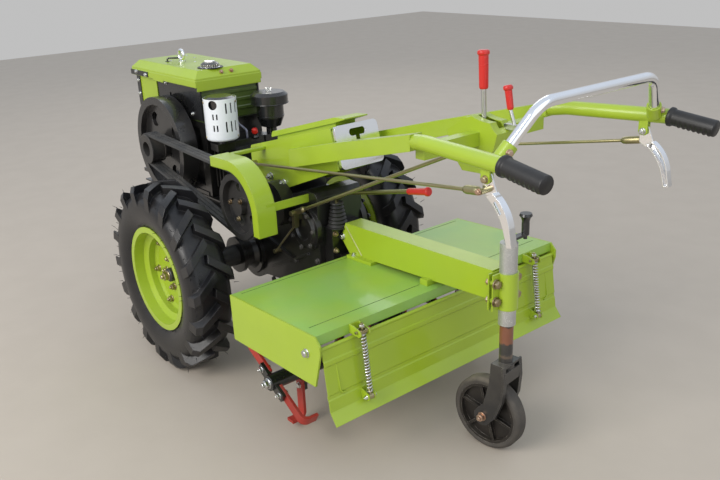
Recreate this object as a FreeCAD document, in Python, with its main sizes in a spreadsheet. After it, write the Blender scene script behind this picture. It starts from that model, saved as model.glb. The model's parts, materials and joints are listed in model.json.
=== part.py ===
import FreeCAD, Part
import math
import os

import Sketcher
from FreeCAD import Placement, Rotation, Vector

# A walking tractor with a rotary tiller, parked on its two drive wheels and its tail wheel.
# X points forward to the engine, Y to the left, Z up, in millimetres, origin on the ground.
# Every X place below is measured from the drive axle, which stands at axle_x.

SIZES = [
    # name, value, what it is
    ("axle_x", 317.0, "drive axle ahead of the origin"),
    ("fit_gap", 0.3, "gap between a moving face and its seat"),
    ("sheet_metal", 3.0, "pressed sheet of covers and guards"),
    # drive wheels
    ("half_track", 380.0, "wheel's middle plane from the centre line"),
    ("tyre_radius", 294.0, "axle height, out to the lug tips"),
    ("lug_height", 25.0, "lug above the carcass"),
    ("lug_width", 25.0, "lug along the tread"),
    ("tyre_width", 138.0, "tyre across its lugs"),
    ("bead_radius", 152.0, "rim seat"),
    ("flange_radius", 166.0, "rim edge"),
    ("rim_width", 114.0, "rim across its edges"),
    ("well_radius", 128.0, "rim well"),
    ("rim_wall", 4.0, "rim metal"),
    ("disc_inset", 8.0, "wheel disc inside the middle plane"),
    ("disc_wall", 7.0, "wheel disc metal"),
    ("hub_radius", 80.0, "bolted hub flange"),
    ("hub_barrel", 34.0, "hub barrel radius"),
    ("hub_nose", 22.0, "axle end through the disc, radius"),
    # gearbox
    ("case_half", 82.0, "gearbox from the centre line to its side"),
    ("case_drum", 94.0, "final drive housing radius"),
    ("axle_housing", 50.0, "axle housing radius"),
    ("housing_reach", 150.0, "axle housing end from the centre line"),
    ("cover_radius", 66.0, "gearbox's round side cover"),
    ("case_top", 532.0, "gearbox top"),
    ("case_front", 60.0, "gearbox front face"),
    ("case_rear", 385.0, "gearbox rear face behind the axle"),
    # engine
    ("crank_x", 387.0, "crankshaft ahead of the axle"),
    ("crank_z", 603.0, "crankshaft height"),
    ("crank_face", 110.0, "crankcase side"),
    ("crankcase_front", 600.0, "crankcase front face"),
    ("crankcase_rear", 190.0, "crankcase rear face"),
    ("crankcase_bottom", 442.0, "crankcase foot"),
    ("crankcase_top", 700.0, "crankcase top"),
    ("head_rear", 62.0, "cylinder head rear face"),
    ("head_half", 84.0, "cylinder head half width"),
    ("head_bottom", 490.0, "cylinder head bottom"),
    ("head_top", 646.0, "cylinder head top"),
    ("flywheel_radius", 172.0, "flywheel"),
    ("flywheel_face", 190.0, "flywheel outer face from the centre line"),
    ("flywheel_width", 58.0, "flywheel rim width"),
    ("flywheel_holes", 103.0, "flywheel's holes from its shaft"),
    ("flywheel_hole", 26.0, "radius of one of the flywheel's holes"),
    ("engine_pulley_radius", 46.0, "engine pulley"),
    ("pulley_face", 241.0, "pulleys' outer face from the centre line"),
    ("belt_count", 3.0, "belts side by side"),
    ("belt_pitch", 14.0, "belt to belt"),
    ("belt_width", 12.0, "one belt"),
    ("belt_depth", 9.0, "belt thickness"),
    # clutch and guard
    ("clutch_x", 200.0, "clutch shaft behind the axle"),
    ("clutch_z", 527.0, "clutch shaft height"),
    ("clutch_pulley_radius", 96.0, "clutch pulley"),
    ("clutch_housing", 70.0, "clutch housing radius"),
    ("guard_radius", 148.0, "belt guard about the clutch shaft"),
    ("guard_inner", 200.0, "guard's inner edge from the centre line"),
    ("guard_outer", 262.0, "guard's outer side"),
    ("guard_lip", 30.0, "guard's turned-in side"),
    ("guard_front", 95.0, "guard ahead of the clutch shaft"),
    ("guard_drop", 56.0, "guard below the clutch shaft"),
    # chassis
    ("rail_half", 100.0, "rail's middle from the centre line"),
    ("rail_width", 30.0, "rail flange"),
    ("rail_height", 42.0, "rail web"),
    ("rail_front", 720.0, "front end of the rails"),
    ("front_bolt", 80.0, "front plate's holes from the centre line"),
    # hood, tank, radiator
    ("hood_half", 127.0, "hood half width"),
    ("hood_front", 684.0, "hood front edge"),
    ("hood_rear", 193.0, "hood rear edge"),
    ("tank_height", 118.0, "fuel tank and radiator above the crankcase"),
    ("hood_edge_rise", 28.0, "hood's bent edge above its skirt's lower edge"),
    ("hood_band", 20.5, "hood's raised lower band"),
    ("hood_step", 2.0, "hood's sides set in above that band"),
    ("hood_rise", 52.0, "hood's top above its skirt's lower edge"),
    ("tank_half", 108.0, "tank and radiator half width"),
    ("tank_rear", 202.0, "fuel tank rear face"),
    ("tank_front", 336.0, "fuel tank front face"),
    ("radiator_front", 668.0, "radiator front face"),
    ("ring_radius", 17.0, "lifting ring, middle of its wire"),
    ("ring_wire", 5.0, "lifting ring wire radius"),
    ("ring_x", 432.0, "lifting ring ahead of the axle"),
    ("ring_y", 46.0, "lifting ring left of the centre line"),
    ("cap_x", 250.0, "tank cap ahead of the axle"),
    ("cap_y", 36.0, "tank cap left of the centre line"),
    ("cap_radius", 31.0, "tank cap"),
    ("hose_radius", 3.5, "fuel hose radius"),
    # muffler and air cleaner
    ("muffler_x", 112.0, "muffler ahead of the axle"),
    ("muffler_y", 90.0, "muffler left of the centre line"),
    ("muffler_radius", 54.0, "muffler shield"),
    ("shield_slot", 5.0, "muffler shield's slot width"),
    ("muffler_bottom", 657.0, "muffler shield bottom"),
    ("muffler_top", 794.0, "muffler shield top"),
    ("cleaner_x", 112.0, "air cleaner ahead of the axle"),
    ("cleaner_y", -100.0, "air cleaner from the centre line"),
    ("cleaner_radius", 63.0, "air cleaner cap"),
    ("cleaner_top", 786.0, "air cleaner top"),
    # handle box and arms
    ("box_half", 80.0, "handle box half width"),
    ("box_wall", 4.0, "handle box sheet"),
    ("box_front", 40.0, "handle box front behind the axle"),
    ("lid_half", 42.0, "handle box lid half width"),
    ("plate_half", 76.0, "gear shift plate half width"),
    ("tray_depth", 13.0, "gear shift plate's depth"),
    ("arm_weld", 960.0, "arm's weld to its tube"),
    ("arm_tube", 17.0, "handle tube radius"),
    ("grip_radius", 20.0, "rubber grip radius"),
    ("grip_start", 1246.0, "grip's front end behind the axle"),
    ("grip_end", 1351.0, "grip's rear end behind the axle"),
    ("handle_z", 858.0, "handle tube at the grip"),
    ("handle_y", 278.0, "handle tube at the grip from the centre line"),
    ("bar_radius", 11.5, "cross bar tube radius"),
    ("bar_top", 960.0, "cross bar top"),
    ("rod_radius", 5.0, "control rods"),
    ("console_half", 29.0, "lever console half width"),
    ("lever_rod", 5.8, "lever rod radius"),
    # tiller
    ("cover_front", 451.0, "tiller cover front behind the axle"),
    ("cover_rear", 830.0, "tiller cover rear behind the axle"),
    ("cover_front_z", 387.0, "tiller cover front height"),
    ("cover_rear_z", 405.0, "tiller cover rear height"),
    ("cover_half", 425.0, "tiller cover half width inside its ends"),
    ("cover_skirt", 26.0, "tiller cover rear skirt"),
    ("end_plate", 5.0, "tiller end plate"),
    ("beam_half", 30.0, "tiller beam half width"),
    ("rotor_x", 575.0, "rotor behind the axle"),
    ("rotor_z", 165.0, "rotor height"),
    ("rotor_shaft", 22.0, "rotor shaft radius"),
    ("tine_radius", 148.0, "tine tip circle"),
    ("tine_width", 28.0, "tine blade width"),
    ("drive_half", 34.0, "tiller drive case half width"),
    ("hinge_x", 838.0, "apron hinge behind the axle"),
    ("hinge_z", 372.0, "apron hinge height"),
    ("hinge_radius", 5.0, "apron hinge rod radius"),
    ("apron_half", 420.0, "apron half width"),
    ("spring_y", 314.0, "spring rod from the centre line"),
    ("spring_radius", 9.0, "spring radius"),
    ("spring_rod", 4.0, "spring rod radius"),
    # tail wheel
    ("post_x", 1032.0, "tail post behind the axle"),
    ("sleeve_radius", 21.5, "tail post sleeve radius"),
    ("sleeve_bottom", 365.0, "tail post sleeve bottom"),
    ("sleeve_top", 576.0, "tail post sleeve top"),
    ("stem_radius", 17.0, "tail stem radius"),
    ("tail_trail", 43.0, "tail wheel ahead of its post"),
    ("tail_turn", 7.5, "turn of the tail wheel about its post, in degrees"),
    ("tail_radius", 100.0, "tail wheel radius"),
    ("tail_width", 40.0, "tail wheel width"),
    ("tail_rubber", 17.0, "tail wheel rubber thickness"),
    ("tail_pin", 8.0, "tail wheel axle radius"),
    ("clamp_reach", 23.0, "post behind the clamp's front face"),
    ("clamp_bottom", 408.0, "post clamp bottom"),
    ("clamp_top", 502.0, "post clamp top"),
]


class Dim:
    """A size of the sheet, or one worked out from such sizes, with its value and expression."""

    def __init__(self, value, text):
        self.value = float(value)
        self.text = text

    @staticmethod
    def of(number):
        if isinstance(number, Dim):
            return number
        return Dim(number, f"({float(number)!r})")

    def __add__(self, other):
        other = Dim.of(other)
        return Dim(self.value + other.value, f"({self.text} + {other.text})")

    def __sub__(self, other):
        other = Dim.of(other)
        return Dim(self.value - other.value, f"({self.text} - {other.text})")

    def __mul__(self, other):
        other = Dim.of(other)
        return Dim(self.value * other.value, f"({self.text} * {other.text})")

    def __truediv__(self, other):
        other = Dim.of(other)
        return Dim(self.value / other.value, f"({self.text} / {other.text})")

    def __neg__(self):
        return Dim(-self.value, f"(0 - {self.text})")

    def __radd__(self, other):
        return Dim.of(other) + self

    def __rsub__(self, other):
        return Dim.of(other) - self

    def __rmul__(self, other):
        return Dim.of(other) * self

    def __float__(self):
        return self.value


class Sheet:
    """The spreadsheet of driving sizes; its names read as attributes."""

    def __init__(self, document, rows):
        cells = document.addObject("Spreadsheet::Sheet", "Sizes")
        for line, (name, value, note) in enumerate(rows, start=1):
            cells.set(f"A{line}", note)
            cells.set(f"B{line}", str(value))
            cells.setAlias(f"B{line}", name)
        document.recompute()
        self.cells = cells

    def __getattr__(self, name):
        return Dim(self.cells.get(name), f"Sizes.{name}")


document = FreeCAD.newDocument("walking_tractor")
size = Sheet(document, SIZES)
parts = []

hood_skirt = size.crankcase_top + size.tank_height
hood_edge = hood_skirt + size.hood_edge_rise
hood_top = hood_skirt + size.hood_rise
tail_x = size.post_x - size.tail_trail
clamp_face = size.clamp_reach - size.post_x


def bind(item, path, value):
    """Tie one property of an object to a size, or set it to a plain number."""
    value = Dim.of(value)
    item.setExpression(path, value.text)


def place(item, x=0.0, y=0.0, z=0.0):
    """Put an object at x, y, z."""
    bind(item, ".Placement.Base.x", x)
    bind(item, ".Placement.Base.y", y)
    bind(item, ".Placement.Base.z", z)
    return item


def part(item, label):
    """Name a finished sub-part and stand it over the drive axle."""
    item.Label = label
    bind(item, ".Placement.Base.x", size.axle_x)
    parts.append(item)
    return item


def points(outline):
    """An outline's corners as plain vectors."""
    return [Vector(float(corner[0]), float(corner[1]), 0) for corner in outline]


def arc_between(start, end, radius):
    """The short arc between two points, bulging right of travel for a positive radius."""
    chord = end - start
    half = chord.Length / 2
    reach = abs(radius)
    side = Vector(-chord.y, chord.x, 0).normalize()
    depth = math.sqrt(max(reach * reach - half * half, 0.0))
    centre = (start + end) / 2 + side * math.copysign(depth, radius)
    first, last = (start, end) if radius > 0 else (end, start)
    begin = math.atan2(first.y - centre.y, first.x - centre.x)
    finish = math.atan2(last.y - centre.y, last.x - centre.x)
    if finish < begin:
        finish += 2 * math.pi
    return Part.ArcOfCircle(Part.Circle(centre, Vector(0, 0, 1), reach), begin, finish)


def sketch(body, role, outline, offset=0.0, circles=()):
    """A closed sketch on an origin plane; a third entry at a corner curves the edge to it."""
    plane = next(item for item in body.Origin.OriginFeatures if item.Role == role)
    made = body.newObject("Sketcher::SketchObject", "Outline")
    made.AttachmentSupport = [(plane, "")]
    made.MapMode = "FlatFace"
    bind(made, ".AttachmentOffset.Base.z", offset)
    corners = points(outline)
    count = len(corners)
    ends = []
    for index, start in enumerate(corners):
        follower = (index + 1) % count
        curve = float(outline[follower][2]) if len(outline[follower]) > 2 else 0.0
        if curve:
            made.addGeometry(arc_between(start, corners[follower], curve), False)
        else:
            made.addGeometry(Part.LineSegment(start, corners[follower]), False)
        ends.append((2, 1) if curve < 0 else (1, 2))
    for index in range(count):
        follower = (index + 1) % count
        made.addConstraint(
            Sketcher.Constraint("Coincident", index, ends[index][1], follower, ends[follower][0])
        )
    for index, corner in enumerate(outline):
        for kind, value in (("DistanceX", corner[0]), ("DistanceY", corner[1])):
            number = made.addConstraint(
                Sketcher.Constraint(kind, -1, 1, index, ends[index][0], float(value))
            )
            bind(made, f"Constraints[{number}]", value)
    for index in range(count):
        follower = outline[(index + 1) % count]
        if len(follower) > 2:
            radius = Dim.of(follower[2])
            radius = radius if radius.value > 0 else -radius
            number = made.addConstraint(Sketcher.Constraint("Radius", index, radius.value))
            bind(made, f"Constraints[{number}]", radius)
    for x, y, radius in circles:
        circle = Part.Circle(Vector(float(x), float(y), 0), Vector(0, 0, 1), float(radius))
        number = made.addGeometry(circle, False)
        for kind, value in (("DistanceX", x), ("DistanceY", y)):
            held = made.addConstraint(Sketcher.Constraint(kind, -1, 1, number, 3, float(value)))
            bind(made, f"Constraints[{held}]", value)
        held = made.addConstraint(Sketcher.Constraint("Radius", number, float(radius)))
        bind(made, f"Constraints[{held}]", radius)
    return made


def pad(body, role, outline, low, high, circles=()):
    """Pad an outline from low to high along the plane's own axis."""
    flipped = role == "XZ_Plane"
    offset = -Dim.of(low) if flipped else low
    made = body.newObject("PartDesign::Pad", "Pad")
    made.Profile = sketch(body, role, outline, offset, circles)
    made.Reversed = flipped
    bind(made, "Length", Dim.of(high) - low)
    return made


def prism(name, role, outline, low, high, circles=()):
    """A body that is one padded outline."""
    body = document.addObject("PartDesign::Body", name)
    pad(body, role, outline, low, high, circles)
    return body


def spun(name, role, outlines, axis="H_Axis"):
    """A body turned from one or more outlines about a sketch axis."""
    body = document.addObject("PartDesign::Body", name)
    for outline in outlines:
        profile = sketch(body, role, outline)
        turned = body.newObject("PartDesign::Revolution", "Turned")
        turned.Profile = profile
        turned.ReferenceAxis = (profile, [axis])
        turned.Angle = 360
    return body


def ring_of_openings(body, count, outline=(), circles=()):
    """Cut one opening right through along Y and repeat it round the Y axis."""
    body.recompute()
    pocket = body.newObject("PartDesign::Pocket", "Opening")
    pocket.Profile = sketch(body, "XZ_Plane", outline, circles=circles)
    pocket.Type = "ThroughAll"
    pocket.Midplane = True
    ring = body.newObject("PartDesign::PolarPattern", "Openings")
    ring.Originals = [pocket]
    ring.Axis = (next(item for item in body.Origin.OriginFeatures if item.Role == "Y_Axis"), [""])
    ring.Angle = 360
    ring.Occurrences = count
    body.Tip = ring
    return body


def box(name, x, y, z):
    """A block between three pairs of places."""
    made = document.addObject("Part::Box", name)
    for edge, (low, high) in zip(("Length", "Width", "Height"), (x, y, z)):
        bind(made, edge, Dim.of(high) - low)
    return place(made, x[0], y[0], z[0])


TURNS = {
    "X": Rotation(Vector(0, 1, 0), 90),
    "Y": Rotation(Vector(1, 0, 0), -90),
    "Z": Rotation(),
}


def cylinder(name, start, axis, radius, length):
    """A cylinder from a start point along a positive axis."""
    made = document.addObject("Part::Cylinder", name)
    bind(made, "Radius", radius)
    bind(made, "Height", length)
    made.Placement = Placement(Vector(), TURNS[axis])
    return place(made, *start)


def rod(name, start, end, radius):
    """A straight round rod between two points."""
    first = Vector(*(float(value) for value in start))
    last = Vector(*(float(value) for value in end))
    made = document.addObject("Part::Cylinder", name)
    bind(made, "Radius", radius)
    made.Height = (last - first).Length
    made.Placement = Placement(Vector(), Rotation(Vector(0, 0, 1), last - first))
    return place(made, *start)


def fuse(name, items):
    """Several shapes as one."""
    made = document.addObject("Part::MultiFuse", name)
    made.Shapes = items
    return made


def cut(name, base, tool):
    """One shape less another."""
    made = document.addObject("Part::Cut", name)
    made.Base = base
    made.Tool = tool
    return made


def mirrored(name, source):
    """The same shape on the other side of the centre line."""
    made = document.addObject("Part::Mirroring", name)
    made.Source = source
    made.Base = Vector()
    made.Normal = Vector(0, 1, 0)
    return made


def pipe_shape(route, section, bend):
    """A tube of a section's wire swept along straight runs joined by arcs."""
    corners = [Vector(*(float(value) for value in point)) for point in route]
    edges = []
    start = corners[0]
    for before, corner, after in zip(corners, corners[1:], corners[2:]):
        into = (corner - before).normalize()
        out = (after - corner).normalize()
        turn = math.acos(max(-1.0, min(1.0, into.dot(out))))
        back = bend * math.tan(turn / 2)
        first = corner - into * back
        last = corner + out * back
        inward = (out - into).normalize()
        middle = corner + inward * (bend / math.cos(turn / 2) - bend)
        edges.append(Part.LineSegment(start, first).toShape())
        edges.append(Part.Arc(first, middle, last).toShape())
        start = last
    edges.append(Part.LineSegment(start, corners[-1]).toShape())
    spine = Part.Wire(edges)
    aim = (corners[1] - corners[0]).normalize()
    ring = Part.Wire([Part.Circle(corners[0], aim, section).toShape()])
    return spine.makePipeShell([ring], True, False)


def feature(name, shape):
    """A shape made outside the other features."""
    made = document.addObject("Part::Feature", name)
    made.Shape = shape
    return made


# Drive wheels: lugged tyre, dished rim, bolted hub

bead_half = size.rim_width / 2 - size.rim_wall
rim_half = size.rim_width / 2
tread_half = size.tyre_width / 2
carcass = size.tyre_radius - size.lug_height
shoulder = carcass - 22.0

TYRE_SECTION = [
    (-bead_half, size.bead_radius),
    (-bead_half, size.flange_radius + 1.0),
    (-tread_half + 3.0, shoulder, -95.0),
    (-42.0, carcass, -40.0),
    (42.0, carcass, -420.0),
    (tread_half - 3.0, shoulder, -40.0),
    (bead_half, size.flange_radius + 1.0, -95.0),
    (bead_half, size.bead_radius),
]


def lug_outline(side, shift):
    """A slanting bar from the tread's middle, leading, back to one shoulder."""
    half = size.lug_width / 2
    nose = 30.0 + shift
    tail = -34.0 + shift
    edge = side * (tread_half + 1.0)
    inner = side * -4.0
    return [
        (nose + half, inner),
        (nose - half, inner - side * 6.0),
        (tail - half - 4.0, edge),
        (tail + half, edge),
    ]


LUGS = 18


TREAD_FORM = [
    (-tread_half, shoulder - 26.0),
    (tread_half, shoulder - 26.0),
    (tread_half, size.tyre_radius - 20.0),
    (tread_half - 12.0, size.tyre_radius - 1.5),
    (0.0, size.tyre_radius, 2200.0),
    (-tread_half + 12.0, size.tyre_radius - 1.5, 2200.0),
    (-tread_half, size.tyre_radius - 20.0),
]


def tyre_shape():
    """Carcass with its ring of lugs, as one solid about the wheel's centre."""
    carcass_form = spun("TyreForm", "YZ_Plane", [TYRE_SECTION])
    tread_form = spun("TreadForm", "YZ_Plane", [TREAD_FORM])
    lugs = []
    for side in (1, -1):
        lug = document.addObject("PartDesign::Body", "Lug")
        pad(lug, "XY_Plane", lug_outline(side, 0.0), shoulder - 18.0, size.tyre_radius + 8.0)
        lugs.append(lug)
    document.recompute()
    copies = []
    for lug, lead in zip(lugs, (0.0, 180.0 / LUGS)):
        for number in range(LUGS):
            copy = lug.Shape.copy()
            copy.rotate(Vector(), Vector(0, 1, 0), lead + 360.0 * number / LUGS)
            copies.append(copy.common(tread_form.Shape))
    return carcass_form.Shape.fuse(copies).removeSplitter()


RIM_SECTION = [
    (-rim_half, size.flange_radius),
    (-rim_half, size.bead_radius - size.rim_wall),
    (-26.0, size.bead_radius - size.rim_wall - 3.0),
    (-18.0, size.well_radius - size.rim_wall),
    (18.0, size.well_radius - size.rim_wall),
    (26.0, size.bead_radius - size.rim_wall - 3.0),
    (rim_half, size.bead_radius - size.rim_wall),
    (rim_half, size.flange_radius),
    (bead_half, size.flange_radius),
    (bead_half, size.bead_radius),
    (26.0, size.bead_radius - 3.0),
    (18.0, size.well_radius),
    (-18.0, size.well_radius),
    (-26.0, size.bead_radius - 3.0),
    (-bead_half, size.bead_radius),
    (-bead_half, size.flange_radius),
]
disc_out = -size.disc_inset
disc_in = disc_out - size.disc_wall
DISC_SECTION = [
    (disc_in, size.hub_nose + size.fit_gap),
    (disc_out, size.hub_nose + size.fit_gap),
    (disc_out, size.well_radius - size.rim_wall - 14.0),
    (disc_out + 6.0, size.well_radius - size.rim_wall + 1.0),
    (disc_in + 6.0, size.well_radius - size.rim_wall + 1.0),
    (disc_in, size.well_radius - size.rim_wall - 14.0),
]
hub_start = size.housing_reach + size.fit_gap - size.half_track
HUB_SECTION = [
    (hub_start, 0.0),
    (hub_start, size.hub_barrel),
    (disc_in - 26.0, size.hub_barrel),
    (disc_in - 13.0, size.hub_barrel + 10.0),
    (disc_in - 13.0, size.hub_radius),
    (disc_in, size.hub_radius),
    (disc_in, size.hub_nose),
    (disc_out + 20.0, size.hub_nose),
    (disc_out + 24.0, size.hub_nose - 4.0),
    (disc_out + 24.0, 0.0),
]

tyre = tyre_shape()
rim = spun("RimForm", "YZ_Plane", [RIM_SECTION, DISC_SECTION])
hub = spun("HubForm", "YZ_Plane", [HUB_SECTION])
document.recompute()
for side, turn in (("left", 0.0), ("right", 180.0)):
    across = size.half_track if turn == 0.0 else -size.half_track
    for label, shape in (("tyre", tyre), ("wheel_rim", rim.Shape), ("wheel_hub", hub.Shape)):
        copy = shape.copy()
        if turn and label != "tyre":
            copy = copy.mirror(Vector(), Vector(0, 1, 0))
        item = feature(f"{label}_{side}", copy)
        item.Placement = Placement()
        place(item, 0.0, across, size.tyre_radius)
        part(item, f"{label}_{side}")

# Gearbox: one casting, with the axle housings, the clutch housing and the tiller's lug

rear = -size.case_rear
CASE_SIDE = [
    (-30.0, size.tyre_radius - 70.0),
    (size.case_front, size.tyre_radius + 20.0),
    (size.case_front, size.case_top - 22.0),
    (size.case_front - 22.0, size.case_top),
    (-228.0, size.case_top),
    (-330.0, size.case_top + 38.0),
    (rear + 12.0, size.case_top + 38.0),
    (rear, size.case_top + 24.0),
    (rear, size.case_top - 202.0),
    (-170.0, size.tyre_radius - 56.0),
]
case_side = prism("CaseSide", "XZ_Plane", CASE_SIDE, -size.case_half, size.case_half)
drum = cylinder(
    "FinalDrive", (0.0, -size.case_half, size.tyre_radius), "Y", size.case_drum, size.case_half * 2
)
housing = cylinder(
    "AxleHousing",
    (0.0, -size.housing_reach, size.tyre_radius),
    "Y",
    size.axle_housing,
    size.housing_reach * 2,
)
clutch_case = cylinder(
    "ClutchCase",
    (-size.clutch_x, size.case_half - 2.0, size.clutch_z - 20.0),
    "Y",
    size.clutch_housing,
    44.0,
)
neck = box(
    "CaseNeck",
    (-size.box_front - 180.0, -size.box_front - 30.0),
    (-size.box_half + size.box_wall, size.box_half - size.box_wall),
    (size.case_top - 4.0, size.case_top + 40.0),
)
COVER_AT = (-330.0, 455.0)
round_cover = spun(
    "RoundCover",
    "YZ_Plane",
    [
        [
            (size.case_half - 6.0, 0.0),
            (size.case_half - 6.0, size.cover_radius),
            (size.case_half + 12.0, size.cover_radius),
            (size.case_half + 12.0, size.cover_radius - 12.0),
            (size.case_half + 22.0, size.cover_radius - 16.0),
            (size.case_half + 22.0, size.cover_radius - 32.0),
            (size.case_half + 15.0, size.cover_radius - 36.0),
            (size.case_half + 15.0, 0.0),
        ]
    ],
)
round_cover.Placement = Placement(Vector(COVER_AT[0], 0, COVER_AT[1]), Rotation())
axle_flange = spun(
    "AxleFlange",
    "YZ_Plane",
    [
        [
            (size.case_half - 2.0, 0.0),
            (size.case_half - 2.0, size.axle_housing + 26.0),
            (size.case_half + 12.0, size.axle_housing + 26.0),
            (size.case_half + 12.0, size.axle_housing + 10.0),
            (size.case_half + 26.0, size.axle_housing),
            (size.case_half + 26.0, 0.0),
        ]
    ],
)
place(axle_flange, 0.0, 0.0, size.tyre_radius)
end_flange = cylinder(
    "EndFlange", (0.0, size.housing_reach - 14.0, size.tyre_radius), "Y", size.axle_housing + 10.0, 14.0
)
side_covers = fuse("SideCovers", [round_cover, axle_flange, end_flange])
RIB_LINES = [
    # from and to, in x and z, on the casting's sides
    (-60.0, 380.0, -250.0, 330.0),
    (-120.0, 268.0, -330.0, 372.0),
    (20.0, 340.0, 20.0, 500.0),
    (-150.0, 385.0, -60.0, 500.0),
]
ribs = []
for number, (x0, z0, x1, z1) in enumerate(RIB_LINES):
    reach = math.hypot(x1 - x0, z1 - z0)
    across = Vector(-(z1 - z0), x1 - x0, 0) / reach * 4.0
    outline = [
        (x0 - across.x, z0 - across.y),
        (x1 - across.x, z1 - across.y),
        (x1 + across.x, z1 + across.y),
        (x0 + across.x, z0 + across.y),
    ]
    half = size.case_half + 7.0
    ribs.append(prism(f"CaseRib{number}", "XZ_Plane", outline, -half, half))
top_flange = box(
    "TopFlange",
    (-250.0, size.case_front - 24.0),
    (-size.case_half - 8.0, size.case_half + 8.0),
    (size.case_top - 34.0, size.case_top - 22.0),
)
part(
    fuse(
        "Gearbox",
        [case_side, drum, housing, clutch_case, neck, top_flange]
        + [side_covers, mirrored("SideCoversRight", side_covers)]
        + ribs,
    ),
    "gearbox_case",
)

# Clutch pulley and engine pulley with their belts

clutch_hub = size.case_half + 42.0 + size.fit_gap
belts_half = size.belt_pitch * (size.belt_count - 1) / 2 + size.belt_width / 2
belt_middle = size.pulley_face - 6.0 - belts_half


def pulley_section(radius, hub_from, hub_radius):
    """A rim, a thin web and a hub, as outlines of distance along the shaft and radius."""
    rim_in = belt_middle - belts_half - 6.0
    groove = radius - size.fit_gap
    return [
        [(hub_from, 0.0), (hub_from, hub_radius), (size.pulley_face, hub_radius),
         (size.pulley_face, 0.0)],
        [(belt_middle - 5.0, hub_radius - 1.0), (belt_middle - 5.0, radius - 13.0),
         (belt_middle + 5.0, radius - 13.0), (belt_middle + 5.0, hub_radius - 1.0)],
        [(rim_in, radius - 14.0), (rim_in, radius + 4.0), (rim_in + 4.0, radius + 4.0),
         (rim_in + 4.0, groove), (size.pulley_face - 4.0, groove),
         (size.pulley_face - 4.0, radius + 4.0), (size.pulley_face, radius + 4.0),
         (size.pulley_face, radius - 14.0)],
    ]


clutch_pulley = spun(
    "ClutchPulley", "YZ_Plane", pulley_section(size.clutch_pulley_radius, clutch_hub, 26.0)
)
ring_of_openings(clutch_pulley, 5, circles=[(size.clutch_pulley_radius * 0.58, 0.0, 13.0)])
place(clutch_pulley, 0.0, 0.0, size.clutch_z)
part(clutch_pulley, "clutch_pulley")
bind(clutch_pulley, ".Placement.Base.x", size.axle_x - size.clutch_x)

web_out = size.flywheel_face - 22.0
flywheel_back = size.flywheel_face - size.flywheel_width
FLYWHEEL = [
    [(size.crank_face + size.fit_gap, 0.0), (size.crank_face + size.fit_gap, 40.0),
     (web_out, 40.0), (web_out, 0.0)],
    [(web_out - 14.0, 38.0), (web_out - 14.0, size.flywheel_radius - 24.0),
     (web_out, size.flywheel_radius - 24.0), (web_out, 38.0)],
    [(flywheel_back, size.flywheel_radius - 26.0), (flywheel_back, size.flywheel_radius),
     (size.flywheel_face, size.flywheel_radius),
     (size.flywheel_face, size.flywheel_radius - 26.0)],
]
flywheel = spun("FlywheelForm", "YZ_Plane", FLYWHEEL)
hole_turn = math.radians(57.0)
ring_of_openings(
    flywheel,
    4,
    circles=[
        (
            size.flywheel_holes * math.cos(hole_turn),
            size.flywheel_holes * math.sin(hole_turn),
            size.flywheel_hole,
        )
    ],
)
place(flywheel, 0.0, 0.0, size.crank_z)
part(flywheel, "flywheel")
bind(flywheel, ".Placement.Base.x", size.axle_x + size.crank_x)

pulley_bore = 26.0
radius = size.engine_pulley_radius
rim_in = belt_middle - belts_half - 6.0
ENGINE_PULLEY = [
    [(web_out, pulley_bore), (web_out, 40.0), (rim_in, 40.0), (rim_in, radius + 4.0),
     (rim_in + 4.0, radius + 4.0), (rim_in + 4.0, radius - size.fit_gap),
     (size.pulley_face - 4.0, radius - size.fit_gap), (size.pulley_face - 4.0, radius + 4.0),
     (size.pulley_face, radius + 4.0), (size.pulley_face, pulley_bore)],
]
engine_pulley = spun("EnginePulley", "YZ_Plane", ENGINE_PULLEY)
place(engine_pulley, 0.0, 0.0, size.crank_z)
part(engine_pulley, "engine_pulley")
bind(engine_pulley, ".Placement.Base.x", size.axle_x + size.crank_x)


def belt_loop(grow):
    """The closed line of a belt round both pulleys, grown outwards by so much."""
    front = Vector(size.crank_x.value, 0, size.crank_z.value)
    back = Vector(-size.clutch_x.value, 0, size.clutch_z.value)
    front_radius = size.engine_pulley_radius.value + grow
    back_radius = size.clutch_pulley_radius.value + grow
    along = back - front
    lean = math.atan2(along.z, along.x)
    spread = math.acos((front_radius - back_radius) / along.Length)

    def at(centre, reach, angle):
        return centre + Vector(reach * math.cos(angle), 0, reach * math.sin(angle))

    top_front = at(front, front_radius, lean - spread)
    top_back = at(back, back_radius, lean - spread)
    low_front = at(front, front_radius, lean + spread)
    low_back = at(back, back_radius, lean + spread)
    return Part.Wire(
        [
            Part.LineSegment(top_front, top_back).toShape(),
            Part.Arc(top_back, at(back, back_radius, lean), low_back).toShape(),
            Part.LineSegment(low_back, low_front).toShape(),
            Part.Arc(low_front, at(front, front_radius, lean + math.pi), top_front).toShape(),
        ]
    )


belts = []
outer_face = Part.Face(belt_loop(size.belt_depth.value))
inner_face = Part.Face(belt_loop(0.0))
band = outer_face.cut(inner_face)
first_belt = belt_middle.value - size.belt_pitch.value * (size.belt_count.value - 1) / 2
for number in range(int(size.belt_count.value)):
    start = first_belt + number * size.belt_pitch.value - size.belt_width.value / 2
    belt = band.extrude(Vector(0, size.belt_width.value, 0))
    belt.translate(Vector(0, start, 0))
    belts.append(belt)
belt_set = feature("BeltSet", Part.makeCompound(belts))
belt_set.Placement = Placement()
part(belt_set, "drive_belts")

# Belt guard: a curved sheet with a turned-in outer side, held by a strap to the gearbox

guard_end = -size.clutch_x + size.guard_front
GUARD_OUT = [
    (guard_end, size.clutch_z + size.guard_radius - 5.0),
    (-size.clutch_x, size.clutch_z + size.guard_radius - 1.0),
    (-size.clutch_x - size.guard_radius, size.clutch_z - 2.0, size.guard_radius),
    (-size.clutch_x - size.guard_radius, size.clutch_z - size.guard_drop),
]


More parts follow.
